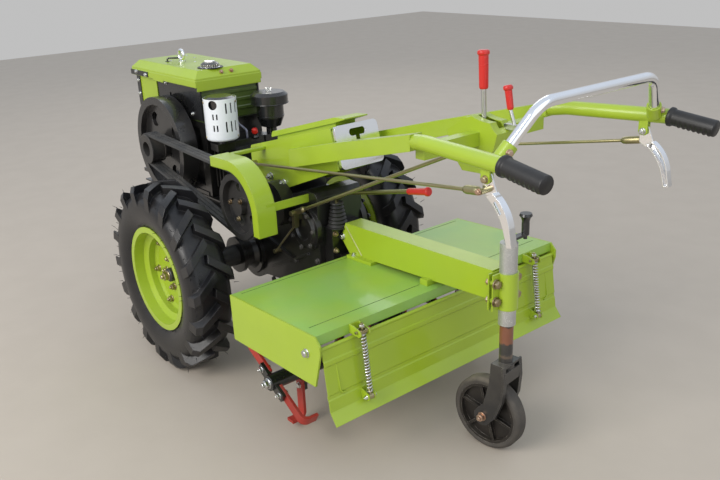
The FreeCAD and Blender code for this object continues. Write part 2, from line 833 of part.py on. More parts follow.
def guard_inset(depth):
    """The guard's outer line, moved in by a depth."""
    middle_z = size.clutch_z + size.guard_radius
    inner_radius = size.guard_radius - depth
    return [
        (-size.clutch_x - inner_radius, size.clutch_z - size.guard_drop),
        (-size.clutch_x - inner_radius, size.clutch_z - 2.0),
        (-size.clutch_x, middle_z - 1.0 - depth, -inner_radius),
        (guard_end, middle_z - 5.0 - depth),
    ]


guard_shell = prism(
    "GuardShell",
    "XZ_Plane",
    GUARD_OUT + guard_inset(size.sheet_metal),
    size.guard_inner,
    size.guard_outer,
)
guard_side = prism(
    "GuardSide",
    "XZ_Plane",
    GUARD_OUT + guard_inset(size.guard_lip),
    size.guard_outer - size.sheet_metal,
    size.guard_outer,
)
guard_back = -size.clutch_x - size.guard_radius + size.sheet_metal
guard_strap = box(
    "GuardStrap",
    (guard_back, guard_back + 4.0),
    (size.case_half, size.guard_inner + 30.0),
    (size.case_top + 8.0, size.case_top + 32.0),
)
guard_arm = prism(
    "GuardArm",
    "XZ_Plane",
    [
        (guard_end - 1.0, size.clutch_z + size.guard_radius - 16.0),
        (guard_end - 1.0, size.clutch_z + size.guard_radius - 7.0),
        (guard_end - 23.0, size.clutch_z + size.guard_radius - 6.0),
        (guard_end - 23.0, size.clutch_z + size.guard_radius - 15.0),
    ],
    size.box_half,
    size.guard_outer - 1.0,
)
part(fuse("BeltGuard", [guard_shell, guard_side, guard_strap, guard_arm]), "belt_guard")

# Chassis rails under the engine

RAIL_SIDE = [
    (size.rail_half - size.rail_width / 2, size.crankcase_bottom - size.rail_height),
    (size.rail_half + size.rail_width / 2, size.crankcase_bottom - size.rail_height),
    (size.rail_half + size.rail_width / 2, size.crankcase_bottom - size.rail_height + 5.0),
    (size.rail_half - size.rail_width / 2 + 5.0, size.crankcase_bottom - size.rail_height + 5.0),
    (size.rail_half - size.rail_width / 2 + 5.0, size.crankcase_bottom - 5.0),
    (size.rail_half + size.rail_width / 2, size.crankcase_bottom - 5.0),
    (size.rail_half + size.rail_width / 2, size.crankcase_bottom),
    (size.rail_half - size.rail_width / 2, size.crankcase_bottom),
]
rail_left = prism("RailLeft", "YZ_Plane", RAIL_SIDE, size.case_front, size.rail_front)
rail_right = mirrored("RailRight", rail_left)
rail_inside = size.rail_half - size.rail_width / 2
front_tie = box(
    "FrontTie",
    (size.rail_front - 70.0, size.rail_front),
    (-size.rail_half - size.rail_width / 2, size.rail_half + size.rail_width / 2),
    (size.crankcase_bottom, size.crankcase_bottom + 8.0),
)
rear_tie = box(
    "RearTie",
    (size.case_front, size.case_front + 14.0),
    (-rail_inside, rail_inside),
    (size.crankcase_bottom - size.rail_height, size.crankcase_bottom - 2.0),
)
front_holes = fuse(
    "FrontHoles",
    [
        cylinder(
            f"FrontHole{number}",
            (size.rail_front - 35.0, side * size.front_bolt, size.crankcase_bottom - 60.0),
            "Z",
            6.0,
            80.0,
        )
        for number, side in enumerate((1, -1))
    ],
)
chassis = cut("Chassis", fuse("Rails", [rail_left, rail_right, front_tie, rear_tie]), front_holes)
part(chassis, "chassis_rails")

# Engine block, head, tank, radiator and hood

CRANKCASE = [
    (size.crankcase_rear, size.crankcase_bottom),
    (size.crankcase_front - 40.0, size.crankcase_bottom),
    (size.crankcase_front, size.crankcase_bottom + 50.0),
    (size.crankcase_front, size.crankcase_top - 40.0),
    (size.crankcase_front - 30.0, size.crankcase_top),
    (size.crankcase_rear, size.crankcase_top),
]
crankcase = prism("CrankcaseForm", "XZ_Plane", CRANKCASE, -size.crank_face, size.crank_face)
timing_cover = prism(
    "TimingCover",
    "XZ_Plane",
    [
        (232.0, 486.0),
        (262.0, 456.0, 32.0),
        (540.0, 456.0),
        (572.0, 488.0, 34.0),
        (572.0, 640.0),
        (540.0, 672.0, 34.0),
        (330.0, 672.0),
        (232.0, 590.0, 140.0),
    ],
    -size.crank_face - 30.0,
    -size.crank_face + 4.0,
)
starter_boss = spun(
    "StarterBoss",
    "YZ_Plane",
    [
        [
            (-size.crank_face - 62.0, 0.0),
            (-size.crank_face - 62.0, 17.0),
            (-size.crank_face - 44.0, 20.0),
            (-size.crank_face - 36.0, 34.0),
            (-size.crank_face - 28.0, 34.0),
            (-size.crank_face - 28.0, 0.0),
        ]
    ],
)
starter_boss.Placement = Placement(Vector(330.0, 0, 560.0), Rotation())
oil_filler = spun(
    "OilFiller",
    "YZ_Plane",
    [
        [
            (-size.crank_face - 50.0, 0.0),
            (-size.crank_face - 50.0, 19.0),
            (-size.crank_face - 38.0, 19.0),
            (-size.crank_face - 38.0, 15.0),
            (-size.crank_face - 28.0, 15.0),
            (-size.crank_face - 28.0, 0.0),
        ]
    ],
)
oil_filler.Placement = Placement(Vector(510.0, 0, 500.0), Rotation())
bearing_cover = cylinder(
    "BearingCover",
    (size.crank_x, size.crank_face - 12.0, size.crank_z),
    "Y",
    84.0,
    12.0,
)
front_door = prism(
    "FrontDoor",
    "XZ_Plane",
    [
        (size.crankcase_front - 4.0, 520.0),
        (size.crankcase_front + 12.0, 526.0),
        (size.crankcase_front + 12.0, 634.0),
        (size.crankcase_front - 4.0, 640.0),
    ],
    -size.crank_face + 26.0,
    size.crank_face - 26.0,
)
foot_flange = box(
    "FootFlange",
    (size.crankcase_rear + 20.0, size.crankcase_front - 60.0),
    (-size.rail_half - 13.0, size.rail_half + 13.0),
    (size.crankcase_bottom, size.crankcase_bottom + 14.0),
)
block_relief = box(
    "BlockRelief",
    (size.crankcase_rear + 40.0, size.crankcase_front - 70.0),
    (size.crank_face - 12.0, size.crank_face + 1.0),
    (size.crankcase_bottom + 34.0, size.crankcase_top - 22.0),
)
block = cut("BlockSide", crankcase, block_relief)
part(
    fuse(
        "EngineBlock",
        [block, timing_cover, starter_boss, oil_filler, bearing_cover, front_door, foot_flange],
    ),
    "engine_crankcase",
)
head_block = box(
    "HeadForm",
    (size.head_rear + 34.0, size.crankcase_rear),
    (-size.head_half, size.head_half),
    (size.head_bottom, size.head_top),
)
rocker_cover = prism(
    "RockerCover",
    "YZ_Plane",
    [
        (-58.0, 528.0),
        (-42.0, 512.0, 16.5),
        (42.0, 512.0),
        (58.0, 528.0, 16.5),
        (58.0, 606.0),
        (42.0, 622.0, 16.5),
        (-42.0, 622.0),
        (-58.0, 606.0, 16.5),
    ],
    size.head_rear,
    size.head_rear + 36.0,
)
head_fins = [
    box(
        f"HeadFin{number}",
        (size.head_rear + 60.0 + 22.0 * number, size.head_rear + 68.0 + 22.0 * number),
        (-size.head_half - 12.0, size.head_half + 12.0),
        (size.head_bottom - 8.0, size.head_top - 12.0),
    )
    for number in range(3)
]
exhaust_port = box(
    "ExhaustPort",
    (size.muffler_x - 24.0, size.muffler_x + 24.0),
    (size.muffler_y - 30.0, size.muffler_y + 36.0),
    (size.head_top - 24.0, size.head_top),
)
intake_port = box(
    "IntakePort",
    (size.cleaner_x - 22.0, size.cleaner_x + 22.0),
    (size.cleaner_y - 22.0, size.cleaner_y + 40.0),
    (size.head_top - 24.0, size.head_top),
)
head_forms = [head_block, rocker_cover, exhaust_port, intake_port] + head_fins
part(fuse("EngineHead", head_forms), "cylinder_head")

tank_low = size.crankcase_top
TANK_SIDE = [(size.tank_front, tank_low), (size.tank_front, hood_skirt)]
TANK_SIDE += [(size.tank_rear, hood_skirt)]
for bead in (3, 2, 1):
    middle = tank_low + (hood_skirt - tank_low) * (bead / 4)
    TANK_SIDE += [
        (size.tank_rear, middle + 7.0),
        (size.tank_rear - 3.0, middle + 4.0),
        (size.tank_rear - 3.0, middle - 4.0),
        (size.tank_rear, middle - 7.0),
    ]
TANK_SIDE += [(size.tank_rear, tank_low)]
tank = prism("TankForm", "XZ_Plane", TANK_SIDE, -size.tank_half, size.tank_half)
tank_void = box(
    "TankVoid",
    (size.tank_rear + size.sheet_metal, size.tank_front - size.sheet_metal),
    (-size.tank_half + size.sheet_metal, size.tank_half - size.sheet_metal),
    (size.crankcase_top - 1.0, hood_skirt - size.sheet_metal),
)
part(cut("FuelTank", tank, tank_void), "fuel_tank")
radiator = box(
    "RadiatorForm",
    (size.tank_front, size.radiator_front),
    (-size.tank_half, size.tank_half),
    (size.crankcase_top, hood_skirt),
)
radiator_void = box(
    "RadiatorVoid",
    (size.tank_front + size.sheet_metal, size.radiator_front - size.sheet_metal),
    (-size.tank_half + size.sheet_metal, size.tank_half - size.sheet_metal),
    (size.crankcase_top - 1.0, hood_skirt - size.sheet_metal),
)
part(cut("Radiator", radiator, radiator_void), "radiator")



def hood_form(name, inset, below):
    """The hood's solid form from its two outlines, set in by a depth."""
    slope = 25.0
    half = size.hood_half - inset
    edge = hood_edge - inset * 0.4
    band = hood_skirt + size.hood_band
    top = hood_top - inset
    front = size.hood_front - inset
    back = size.hood_rear + inset
    across = [
        (-half, hood_skirt - below),
        (half, hood_skirt - below),
        (half, band),
        (half - size.hood_step, band + size.hood_step),
        (half - size.hood_step, edge),
        (half - slope, top),
        (-half + slope, top),
        (-half + size.hood_step, edge),
        (-half + size.hood_step, band + size.hood_step),
        (-half, band),
    ]
    lengthwise = [
        (back, hood_skirt - below),
        (front, hood_skirt - below),
        (front, band),
        (front - size.hood_step, band + size.hood_step),
        (front - size.hood_step, edge),
        (front - slope, top),
        (back + slope, top),
        (back + size.hood_step, edge),
        (back + size.hood_step, band + size.hood_step),
        (back, band),
    ]
    made = document.addObject("Part::MultiCommon", name)
    made.Shapes = [
        prism(f"{name}Across", "YZ_Plane", across, size.hood_rear - 1.0, size.hood_front + 1.0),
        prism(f"{name}Along", "XZ_Plane", lengthwise, -size.hood_half - 1.0, size.hood_half + 1.0),
    ]
    return made


hood_shell = cut(
    "HoodShell", hood_form("HoodOuter", 0.0, 0.0), hood_form("HoodInner", size.sheet_metal, 5.0)
)
hood_drop = box(
    "HoodDrop",
    (size.hood_rear, size.hood_rear + size.sheet_metal),
    (-size.hood_half + 4.0, size.hood_half - 4.0),
    (hood_skirt - 13.0, hood_skirt),
)
hood_tabs = [
    box(
        f"HoodTab{number}",
        (432.0, 511.0),
        (side * size.hood_half - (size.sheet_metal if side > 0 else 0.0),
         side * size.hood_half + (size.sheet_metal if side < 0 else 0.0)),
        (hood_skirt - 6.0, hood_skirt + 2.0),
    )
    for number, side in enumerate((1, -1))
]
hood_seat = box(
    "HoodSeat",
    (size.tank_rear, size.radiator_front),
    (-size.tank_half, size.tank_half),
    (hood_skirt, hood_skirt + 6.0),
)
part(fuse("Hood", [hood_shell, hood_drop, hood_seat] + hood_tabs), "engine_hood")

# Shroud beside the radiator, green front panels and their black straps

shroud_rear = size.hood_rear + size.sheet_metal
SHROUD_SIDE = [
    (shroud_rear, size.crankcase_top + 6.0),
    (440.0, size.crankcase_top + 2.0),
    (456.0, size.crankcase_top + 30.0),
    (456.0, hood_skirt),
    (shroud_rear, hood_skirt),
]
shroud_plate = prism("ShroudPlate", "XZ_Plane", SHROUD_SIDE, size.tank_half, size.tank_half + 6.0)
RECESS = [
    (237.0, hood_skirt - 19.0),
    (240.0, hood_skirt - 63.0),
    (355.0, size.crankcase_top - 5.0),
    (416.0, size.crankcase_top + 22.0),
    (416.0, hood_skirt - 39.0),
]
recess = prism("ShroudRecess", "XZ_Plane", RECESS, size.tank_half + 3.0, size.tank_half + 7.0)
shroud = cut("Shroud", shroud_plate, recess)
part(fuse("Shrouds", [shroud, mirrored("ShroudRight", shroud)]), "fan_shroud")
side_panel = box(
    "SidePanel",
    (520.0, size.radiator_front),
    (size.tank_half, size.tank_half + size.sheet_metal),
    (size.crankcase_top + 11.0, hood_skirt),
)
nose_sheet = box(
    "NoseSheet",
    (size.radiator_front, size.radiator_front + size.sheet_metal),
    (-size.tank_half - size.sheet_metal, size.tank_half + size.sheet_metal),
    (size.crankcase_top + 11.0, hood_skirt),
)
nose_slots = fuse(
    "NoseSlots",
    [
        box(
            f"NoseSlot{number}",
            (size.radiator_front - 1.0, size.radiator_front + size.sheet_metal + 1.0),
            (-78.0, 78.0),
            (size.crankcase_top + 30.0 + 14.0 * number, size.crankcase_top + 37.0 + 14.0 * number),
        )
        for number in range(5)
    ],
)
nose_panel = cut("NosePanel", nose_sheet, nose_slots)
panels = fuse("Panels", [side_panel, mirrored("SidePanelRight", side_panel), nose_panel])
part(panels, "front_panels")
strap_side = box(
    "StrapSide",
    (650.0, 676.0),
    (size.tank_half + size.sheet_metal, size.tank_half + 6.0),
    (size.crankcase_top + 2.0, hood_skirt),
)
strap_rail = box(
    "StrapRail",
    (546.0, size.hood_front),
    (size.hood_half, size.hood_half + 3.0),
    (hood_skirt + 2.0, hood_skirt + 20.0),
)
strap_set = fuse("StrapSet", [strap_side, strap_rail])
part(fuse("Straps", [strap_set, mirrored("StrapsRight", strap_set)]), "panel_straps")

# Lifting eye and tank cap on the hood

eye = document.addObject("Part::Torus", "EyeRing")
bind(eye, "Radius1", size.ring_radius)
bind(eye, "Radius2", size.ring_wire)
eye.Placement = Placement(Vector(), Rotation(Vector(1, 0, 0), 90))
eye_bore = cylinder(
    "EyeBore",
    (size.ring_x, size.ring_y - 10.0, hood_top + 6.0 + size.ring_radius + size.ring_wire),
    "Y",
    size.ring_radius - size.ring_wire + 1.0,
    20.0,
)
place(eye, size.ring_x, size.ring_y, hood_top + 6.0 + size.ring_radius + size.ring_wire)
eye_foot = cylinder("EyeFoot", (size.ring_x, size.ring_y, hood_top), "Z", 11.0, 8.0)
part(cut("LiftingEye", fuse("EyeSolid", [eye, eye_foot]), eye_bore), "lifting_eye")

CAP_SECTION = [
    (0.0, hood_top),
    (size.cap_radius, hood_top),
    (size.cap_radius, hood_top + 12.0),
    (size.cap_radius - 8.0, hood_top + 18.0),
    (0.0, hood_top + 18.0),
]
tank_cap = spun("TankCap", "XZ_Plane", [CAP_SECTION], "V_Axis")
place(tank_cap, 0.0, size.cap_y, 0.0)
part(tank_cap, "tank_cap")
bind(tank_cap, ".Placement.Base.x", size.axle_x + size.cap_x)

# Muffler inside its shield, and the air cleaner

SHIELD = [
    (size.muffler_radius - 9.5, size.muffler_bottom),
    (size.muffler_radius - 8.0, size.muffler_bottom),
    (size.muffler_radius, size.muffler_bottom + 8.0, 8.6),
    (size.muffler_radius, size.muffler_top),
    (size.muffler_radius - 1.5, size.muffler_top),
    (size.muffler_radius - 1.5, size.muffler_bottom + 8.5),
]
MUFFLER = [
    (0.0, size.head_top),
    (22.0, size.head_top),
    (22.0, size.muffler_bottom + 4.0),
    (size.muffler_radius - 8.0, size.muffler_bottom + 14.0),
    (size.muffler_radius - 8.0, size.muffler_top - 6.0),
    (size.muffler_radius - 1.5, size.muffler_top - 6.0),
    (size.muffler_radius - 1.5, size.muffler_top),
    (size.muffler_radius - 14.0, size.muffler_top + 5.0),
    (0.0, size.muffler_top + 5.0),
]
CLEANER = [
    (0.0, size.head_top),
    (18.0, size.head_top),
    (18.0, 664.0),
    (34.0, 670.0),
    (46.0, 700.0),
    (46.0, 744.0),
    (size.cleaner_radius, 746.0),
    (size.cleaner_radius, 776.0),
    (size.cleaner_radius - 12.0, size.cleaner_top),
    (0.0, size.cleaner_top),
]
SHIELD_SLOTS = [
    # turn from straight ahead towards the left, bottom and top above the shield's foot
    (122.5, 35.0, 55.0),
    (135.0, 35.0, 55.0),
    (122.5, 73.0, 91.0),
    (136.0, 73.0, 91.0),
    (167.0, 31.0, 65.0),
    (186.0, 31.0, 65.0),
    (205.0, 31.0, 65.0),
    (170.0, 91.0, 124.0),
    (189.0, 91.0, 124.0),
    (210.0, 91.0, 124.0),
    (330.0, 31.0, 65.0),
    (350.0, 31.0, 65.0),
    (10.0, 31.0, 65.0),
    (330.0, 91.0, 124.0),
    (350.0, 91.0, 124.0),
    (10.0, 91.0, 124.0),
]


def shield_openings():
    """The shield's slots and its round hole, as one cutting form about its own axis."""
    openings = []
    for turn, low, high in SHIELD_SLOTS:
        slot = document.addObject("Part::Box", "ShieldSlot")
        bind(slot, "Length", size.muffler_radius + 6.0)
        bind(slot, "Width", size.shield_slot)
        slot.Height = high - low
        slot.Placement = Placement(Vector(), Rotation(Vector(0, 0, 1), turn))
        lean = math.radians(turn)
        place(
            slot,
            size.shield_slot * (math.sin(lean) / 2),
            size.shield_slot * (-math.cos(lean) / 2),
            size.muffler_bottom + low,
        )
        openings.append(slot)
    hole = cylinder("ShieldHole", (0.0, 0.0, size.muffler_bottom + 120.0), "X", 15.0, 80.0)
    hole.Placement = Placement(
        hole.Placement.Base, Rotation(Vector(0, 0, 1), 123.5).multiply(TURNS["X"])
    )
    openings.append(hole)
    return fuse("ShieldOpenings", openings)


for label, outline, x, y in (
    ("muffler_shield", SHIELD, size.muffler_x, size.muffler_y),
    ("muffler_core", MUFFLER, size.muffler_x, size.muffler_y),
    ("air_cleaner", CLEANER, size.cleaner_x, size.cleaner_y),
):
    turned = spun(f"{label}_form", "XZ_Plane", [outline], "V_Axis")
    if label == "muffler_shield":
        turned = cut("ShieldCut", turned, shield_openings())
    place(turned, 0.0, y, 0.0)
    part(turned, label)
    bind(turned, ".Placement.Base.x", size.axle_x + x)

# Fuel hose from the tank's rear face down to the cylinder head

HOSE_ROUTE = [
    (size.tank_rear, 0.0, tank_low + 5.0),
    (size.tank_rear - 21.0, 0.0, tank_low + 5.0),
    (size.tank_rear - 44.0, 0.0, tank_low - 15.0),
    (size.cleaner_x - 2.0, 0.0, size.head_top + 24.0),
    (size.cleaner_x - 2.0, 0.0, size.head_top),
]
fuel_hose = pipe_shape(HOSE_ROUTE, size.hose_radius.value, 10.0)
part(feature("FuelHose", fuel_hose), "fuel_hose")

# Handle box, shift plate, handle arms and tubes

front_of_box = -size.box_front
BOX_SIDE = [
    (front_of_box, size.case_top + 2.0),
    (front_of_box, 654.0),
    (front_of_box - 12.0, 662.0, 12.5),
    (-461.0, 776.0),
    (-493.0, 661.0),
    (-227.0, 556.0),
]
box_outer = prism("BoxOuter", "XZ_Plane", BOX_SIDE, -size.box_half, size.box_half)
BOX_INSIDE = [
    (front_of_box - size.box_wall, size.case_top - 10.0),
    (front_of_box - size.box_wall, 650.0),
    (front_of_box - 16.0, 658.0),
    (-466.0, 773.0),
    (-498.0, 656.0),
    (-232.0, 544.0),
]
box_inner = prism(
    "BoxInner",
    "XZ_Plane",
    BOX_INSIDE,
    -size.box_half + size.box_wall,
    size.box_half - size.box_wall,
)


def box_top(back, above):
    """A corner at a distance behind the axle, so far above the box's sloping top."""
    return (-back, 662.0 + (back - 52.0) * 0.2787 + above)


LID_SEAT = [box_top(130, -2.0), box_top(430, -2.0), box_top(430, 12.0), box_top(130, 12.0)]
LID_SIDE = [
    box_top(108, 11.0),
    box_top(426, 11.0),
    box_top(478, 14.0),
    box_top(478, 17.0),
    box_top(430, 27.0),
    box_top(128, 27.0),
    box_top(108, 12.5) + (-17.0,),
]
lid_seat = prism("LidSeat", "XZ_Plane", LID_SEAT, -size.lid_half + 7.0, size.lid_half - 7.0)
lid = prism("BoxLid", "XZ_Plane", LID_SIDE, -size.lid_half, size.lid_half)
part(fuse("HandleBox", [cut("BoxShell", box_outer, box_inner), lid_seat, lid]), "handle_box")

# The shift plate is a shallow tray with a gate of two slots joined by a neck
TRAY_HIGH = 60.5
TRAY_ROUND = 14.0


def tray_outline(inset):
    """The tray's rounded outline, set in by a wall."""
    half = size.plate_half - inset
    high = TRAY_HIGH - inset
    bend = TRAY_ROUND - inset
    return [
        (half - bend, -high),
        (half, -high + bend, bend + 0.4),
        (half, high - bend),
        (half - bend, high, bend + 0.4),
        (-half + bend, high),
        (-half, high - bend, bend + 0.4),
        (-half, -high + bend),
        (-half + bend, -high, bend + 0.4),
    ]


GATE = [
    (7.0, 26.0),
    (20.0, 26.0),
    (20.0, 46.0, 10.4),
    (-20.0, 46.0),
    (-20.0, 26.0, 10.4),
    (-7.0, 26.0),
    (-7.0, -2.0),
    (-20.0, -2.0),
    (-20.0, -22.0, 10.4),
    (20.0, -22.0),
    (20.0, -2.0, 10.4),
    (7.0, -2.0),
]
tray_outer = prism("TrayOuter", "YZ_Plane", tray_outline(0.0), -size.tray_depth, 0.0)
tray_inner = prism("TrayInner", "YZ_Plane", tray_outline(3.0), -size.tray_depth + 3.0, 1.0)
gate = prism("Gate", "YZ_Plane", GATE, -size.tray_depth - 1.0, 1.0)
tray = cut("TrayGate", cut("TrayShell", tray_outer, tray_inner), gate)
tray.Placement = Placement(Vector(0, 0, 719.0), Rotation(Vector(0, 1, 0), 15.55))
part(tray, "shift_plate")
bind(tray, ".Placement.Base.x", size.axle_x - 477.3)

ARM_SECTIONS = [
    # behind the axle, inner and outer distance from the centre line, bottom, top
    (262.0, 80.0, 82.0, 630.0, 684.0),
    (300.0, 80.0, 112.0, 640.0, 694.0),
    (640.0, 140.0, 176.0, 738.0, 784.0),
    (960.0, 208.0, 244.0, 828.0, 864.0),
]


def arm_shape():
    """The left arm's tapering box, lofted straight between its sections."""
    wires = []
    for back, inner, outer, low, high in ARM_SECTIONS:
        ring = [
            Vector(-back, inner, low),
            Vector(-back, outer, low),
            Vector(-back, outer, high),
            Vector(-back, inner, high),
        ]
        wires.append(Part.makePolygon(ring + ring[:1]))
    return Part.makeLoft(wires, True, True)


handle_ends = [
    (-size.arm_weld + 4.0, 226.0, 846.0),
    (-1000.0, 238.0, 852.0),
    (-size.grip_start, size.handle_y, size.handle_z),
    (-size.grip_end + 2.0, size.handle_y + 8.0, size.handle_z - 14.0),
]
arm_box = feature("ArmBox", arm_shape())
arm_tube = feature("ArmTube", pipe_shape(handle_ends, size.arm_tube.value, 60.0))
LEVER_TAB = [(-1183.0, 848.0), (-1206.0, 848.0), (-1206.0, 816.0), (-1200.0, 811.0)]
LEVER_TAB += [(-1189.0, 811.0), (-1183.0, 816.0)]
tab_inner = prism("TabInner", "XZ_Plane", LEVER_TAB, 258.0, 261.5)
tab_outer = prism("TabOuter", "XZ_Plane", LEVER_TAB, 265.5, 269.0)
arm_pieces = [arm_box, arm_tube, tab_inner, tab_outer]
part(fuse("ArmLeft", arm_pieces), "handle_arm_left")
part(mirrored("ArmRight", fuse("ArmCopy", arm_pieces)), "handle_arm_right")

grip_from = (-size.grip_start, size.handle_y, size.handle_z)
grip_to = (-size.grip_end, size.handle_y + 8.0, size.handle_z - 14.0)
grip = cut(
    "GripForm",
    rod("GripOuter", grip_from, grip_to, size.grip_radius),
    rod("GripBore", grip_from, handle_ends[-1], size.arm_tube),
)
part(grip, "grip_left")
part(mirrored("GripRight", cut("GripCopy", grip.Base, grip.Tool)), "grip_right")

# Cross bar between the handles

BAR_ROUTE = [
    (-1221.0, 255.0, 864.5),
    (-1253.0, 184.0, size.bar_top),
    (-1253.0, -184.0, size.bar_top),
    (-1221.0, -255.0, 864.5),
]
bar_tube = feature("BarTube", pipe_shape(BAR_ROUTE, size.bar_radius.value, 60.0))
seat_left = rod("BarSeat", handle_ends[1], handle_ends[2], size.arm_tube)
bar_seats = fuse("BarSeats", [seat_left, mirrored("BarSeatRight", seat_left)])
part(cut("CrossBar", bar_tube, bar_seats), "cross_bar")

# Lever console between the arms

CONSOLE_SIDE = [
    (-857.0, 824.0),
    (-874.0, 771.0),
    (-907.0, 733.0),
    (-970.0, 736.0),
    (-1003.0, 798.0),
    (-1013.0, 834.0),
    (-991.0, 857.0, 50.0),
    (-935.0, 866.0, 150.0),
    (-915.0, 861.0, 60.0),
]
console_half = size.console_half
console_block = prism("ConsoleBlock", "XZ_Plane", CONSOLE_SIDE, -console_half, console_half)
CONSOLE_INSIDE = [
    (-862.0, 821.0),
    (-878.0, 766.0),
    (-906.0, 730.0),
    (-972.0, 730.0),
    (-1000.0, 797.0),
    (-1008.0, 832.0),
    (-989.0, 853.0),
    (-935.0, 862.0),
    (-916.0, 857.0),
]
console_room = prism(
    "ConsoleRoom",
    "XZ_Plane",
    CONSOLE_INSIDE,
    -console_half + size.sheet_metal,
    console_half - size.sheet_metal,
)
console_slot = box("ConsoleSlot", (-1000.0, -928.0), (-8.0, 8.0), (840.0, 880.0))
console_window = box(
    "ConsoleWindow", (-968.0, -938.0), (console_half - 4.0, console_half + 1.0), (756.0, 786.0)
)
console_shell = cut(
    "ConsoleShell", console_block, fuse("ConsoleCuts", [console_room, console_slot, console_window])
)
console_floor = box(
    "ConsoleFloor", (-966.0, -906.0), (-console_half, console_half), (800.0, 806.0)
)
console_tie = box("ConsoleTie", (-960.0, -932.0), (-201.5, 201.5), (800.0, 832.0))
part(fuse("Console", [console_shell, console_floor, console_tie]), "lever_console")

BOOT_X = 410.0
BOOT_TOP = size.case_top + 5.0
TILLER_LEVER = [
    (-BOOT_X, 30.0, BOOT_TOP + size.fit_gap),
    (-BOOT_X, 30.0, BOOT_TOP + 14.0),
    (-460.0, 30.0, 580.0),
    (-718.0, 30.0, 640.0),
]
lever_rods = fuse(
    "LeverRods",
    [
        rod("MainLever", (-948.0, 0.0, 832.2), (-945.0, 0.0, 925.0), size.lever_rod),
        rod("SmallLever", (-1026.0, -14.0, 850.0), (-1013.3, -14.0, 883.2), size.lever_rod - 1.5),
        cut(
            "SmallLeverSeat",
            box("SmallLeverFoot", (-1034.0, -1000.0), (-20.0, -8.0), (840.0, 852.0)),
            console_block,
        ),
        feature("TillerLever", pipe_shape(TILLER_LEVER, 6.0, 16.0)),
    ],
)
part(lever_rods, "lever_rods")


def grip_form(name, start, end, radius):
    """A tapered hand grip with a collar at its far end, from start towards end."""
    first = Vector(*(float(value) for value in start))
    last = Vector(*(float(value) for value in end))
    length = (last - first).Length
    outline = [
        (0.0, 0.0),
        (radius - 2.6, 0.0),
        (radius - 0.8, 5.0, 9.0),
        (radius, length - 12.0),
        (radius + 2.6, length - 9.0),
        (radius + 2.6, length - 5.0),
        (radius - 1.5, length, 5.5),
        (0.0, length),
    ]
    made = spun(name, "XZ_Plane", [outline], "V_Axis")
    made.Placement = Placement(first, Rotation(Vector(0, 0, 1), last - first))
    return made


lever_grips = fuse(
    "LeverGrips",
    [
        grip_form("MainGrip", (-945.0, 0.0, 925.0), (-942.2, 0.0, 1012.0), 11.5),
        grip_form("SmallGrip", (-1013.0, -14.0, 884.0), (-1003.0, -14.0, 938.0), 8.5),
        grip_form("TillerGrip", (-718.3, 30.0, 640.1), (-797.0, 30.0, 656.0), 9.5),
    ],
)
part(lever_grips, "lever_grips")

# Steering levers under the handles

STEER_PLATE = [
    (-1184.0, 832.0),
    (-1206.0, 832.0),
    (-1221.0, 797.0),
    (-1203.0, 784.0),
    (-1186.0, 793.0),
]
STEER_CHANNEL = [
    (-1203.0, 790.0, -110.0),
    (-1219.0, 799.0),
    (-1262.0, 738.0, 90.0),
    (-1269.0, 702.0),
    (-1257.0, 699.0),
    (-1248.0, 730.0),
]
STEER_ROOM = [
    (-1205.6, 791.0, -112.5),
    (-1218.2, 795.4),
    (-1259.6, 737.3, 87.5),
    (-1266.0, 704.2),
    (-1258.9, 702.4),
    (-1250.4, 730.8),
]
STEER_SLOT = [(-1222.0, 781.0), (-1227.0, 785.0), (-1243.0, 764.0), (-1238.0, 760.0)]
steer_seat = rod("SteerSeat", handle_ends[1], handle_ends[2], size.arm_tube + 0.2)
steer_channel = cut(
    "SteerChannel",
    prism("SteerForm", "XZ_Plane", STEER_CHANNEL, 259.0, 276.0),
    fuse(
        "SteerCuts",
        [
            prism("SteerRoom", "XZ_Plane", STEER_ROOM, 258.0, 273.0),
            prism("SteerSlot", "XZ_Plane", STEER_SLOT, 272.0, 278.0),
        ],
    ),
)
steer_plate = prism("SteerPlate", "XZ_Plane", STEER_PLATE, 262.0, 265.0)
steer_left = cut("SteerLeft", fuse("SteerSolid", [steer_plate, steer_channel]), steer_seat)
part(fuse("SteerLevers", [steer_left, mirrored("SteerRight", steer_left)]), "steering_levers")

# Control rods from the levers to the gearbox

clutch_joint = (-1190.0, 274.0, 797.0)
clutch_pin = (-66.0, 101.0, 609.0)
speed_pin = (-312.0, 110.0, 506.0)
brake_joint = (-308.0, 110.0, 467.0)
brake_pin = (-179.0, 105.0, 345.0)
speed_top = (-940.0, 100.0, 790.0)
CLEVIS = [(0.0, 0.0), (4.0, 0.0), (9.0, 12.0, 24.0), (9.0, 42.0), (5.0, 54.0, 24.0), (0.0, 54.0)]


def clevis(name, start, end):
    """A forged joint at the start of a rod that goes on towards end."""
    first = Vector(*start)
    made = spun(name, "XZ_Plane", [CLEVIS], "V_Axis")
    made.Placement = Placement(first, Rotation(Vector(0, 0, 1), Vector(*end) - first))
    return made


def rod_plate(name, start, end, width, low, high):
    """A flat link between two points of a side view, from low to high along Y."""
    reach = math.hypot(end[0] - start[0], end[2] - start[2])
    ahead = Vector(end[0] - start[0], end[2] - start[2], 0) / reach
    aside = Vector(-ahead.y, ahead.x, 0) * width / 2
    first = Vector(start[0], start[2], 0) - ahead * width / 2
    last = Vector(end[0], end[2], 0) + ahead * width / 2
    corners = (first - aside, last - aside, last + aside, first + aside)
    return prism(name, "XZ_Plane", [(corner.x, corner.y) for corner in corners], low, high)


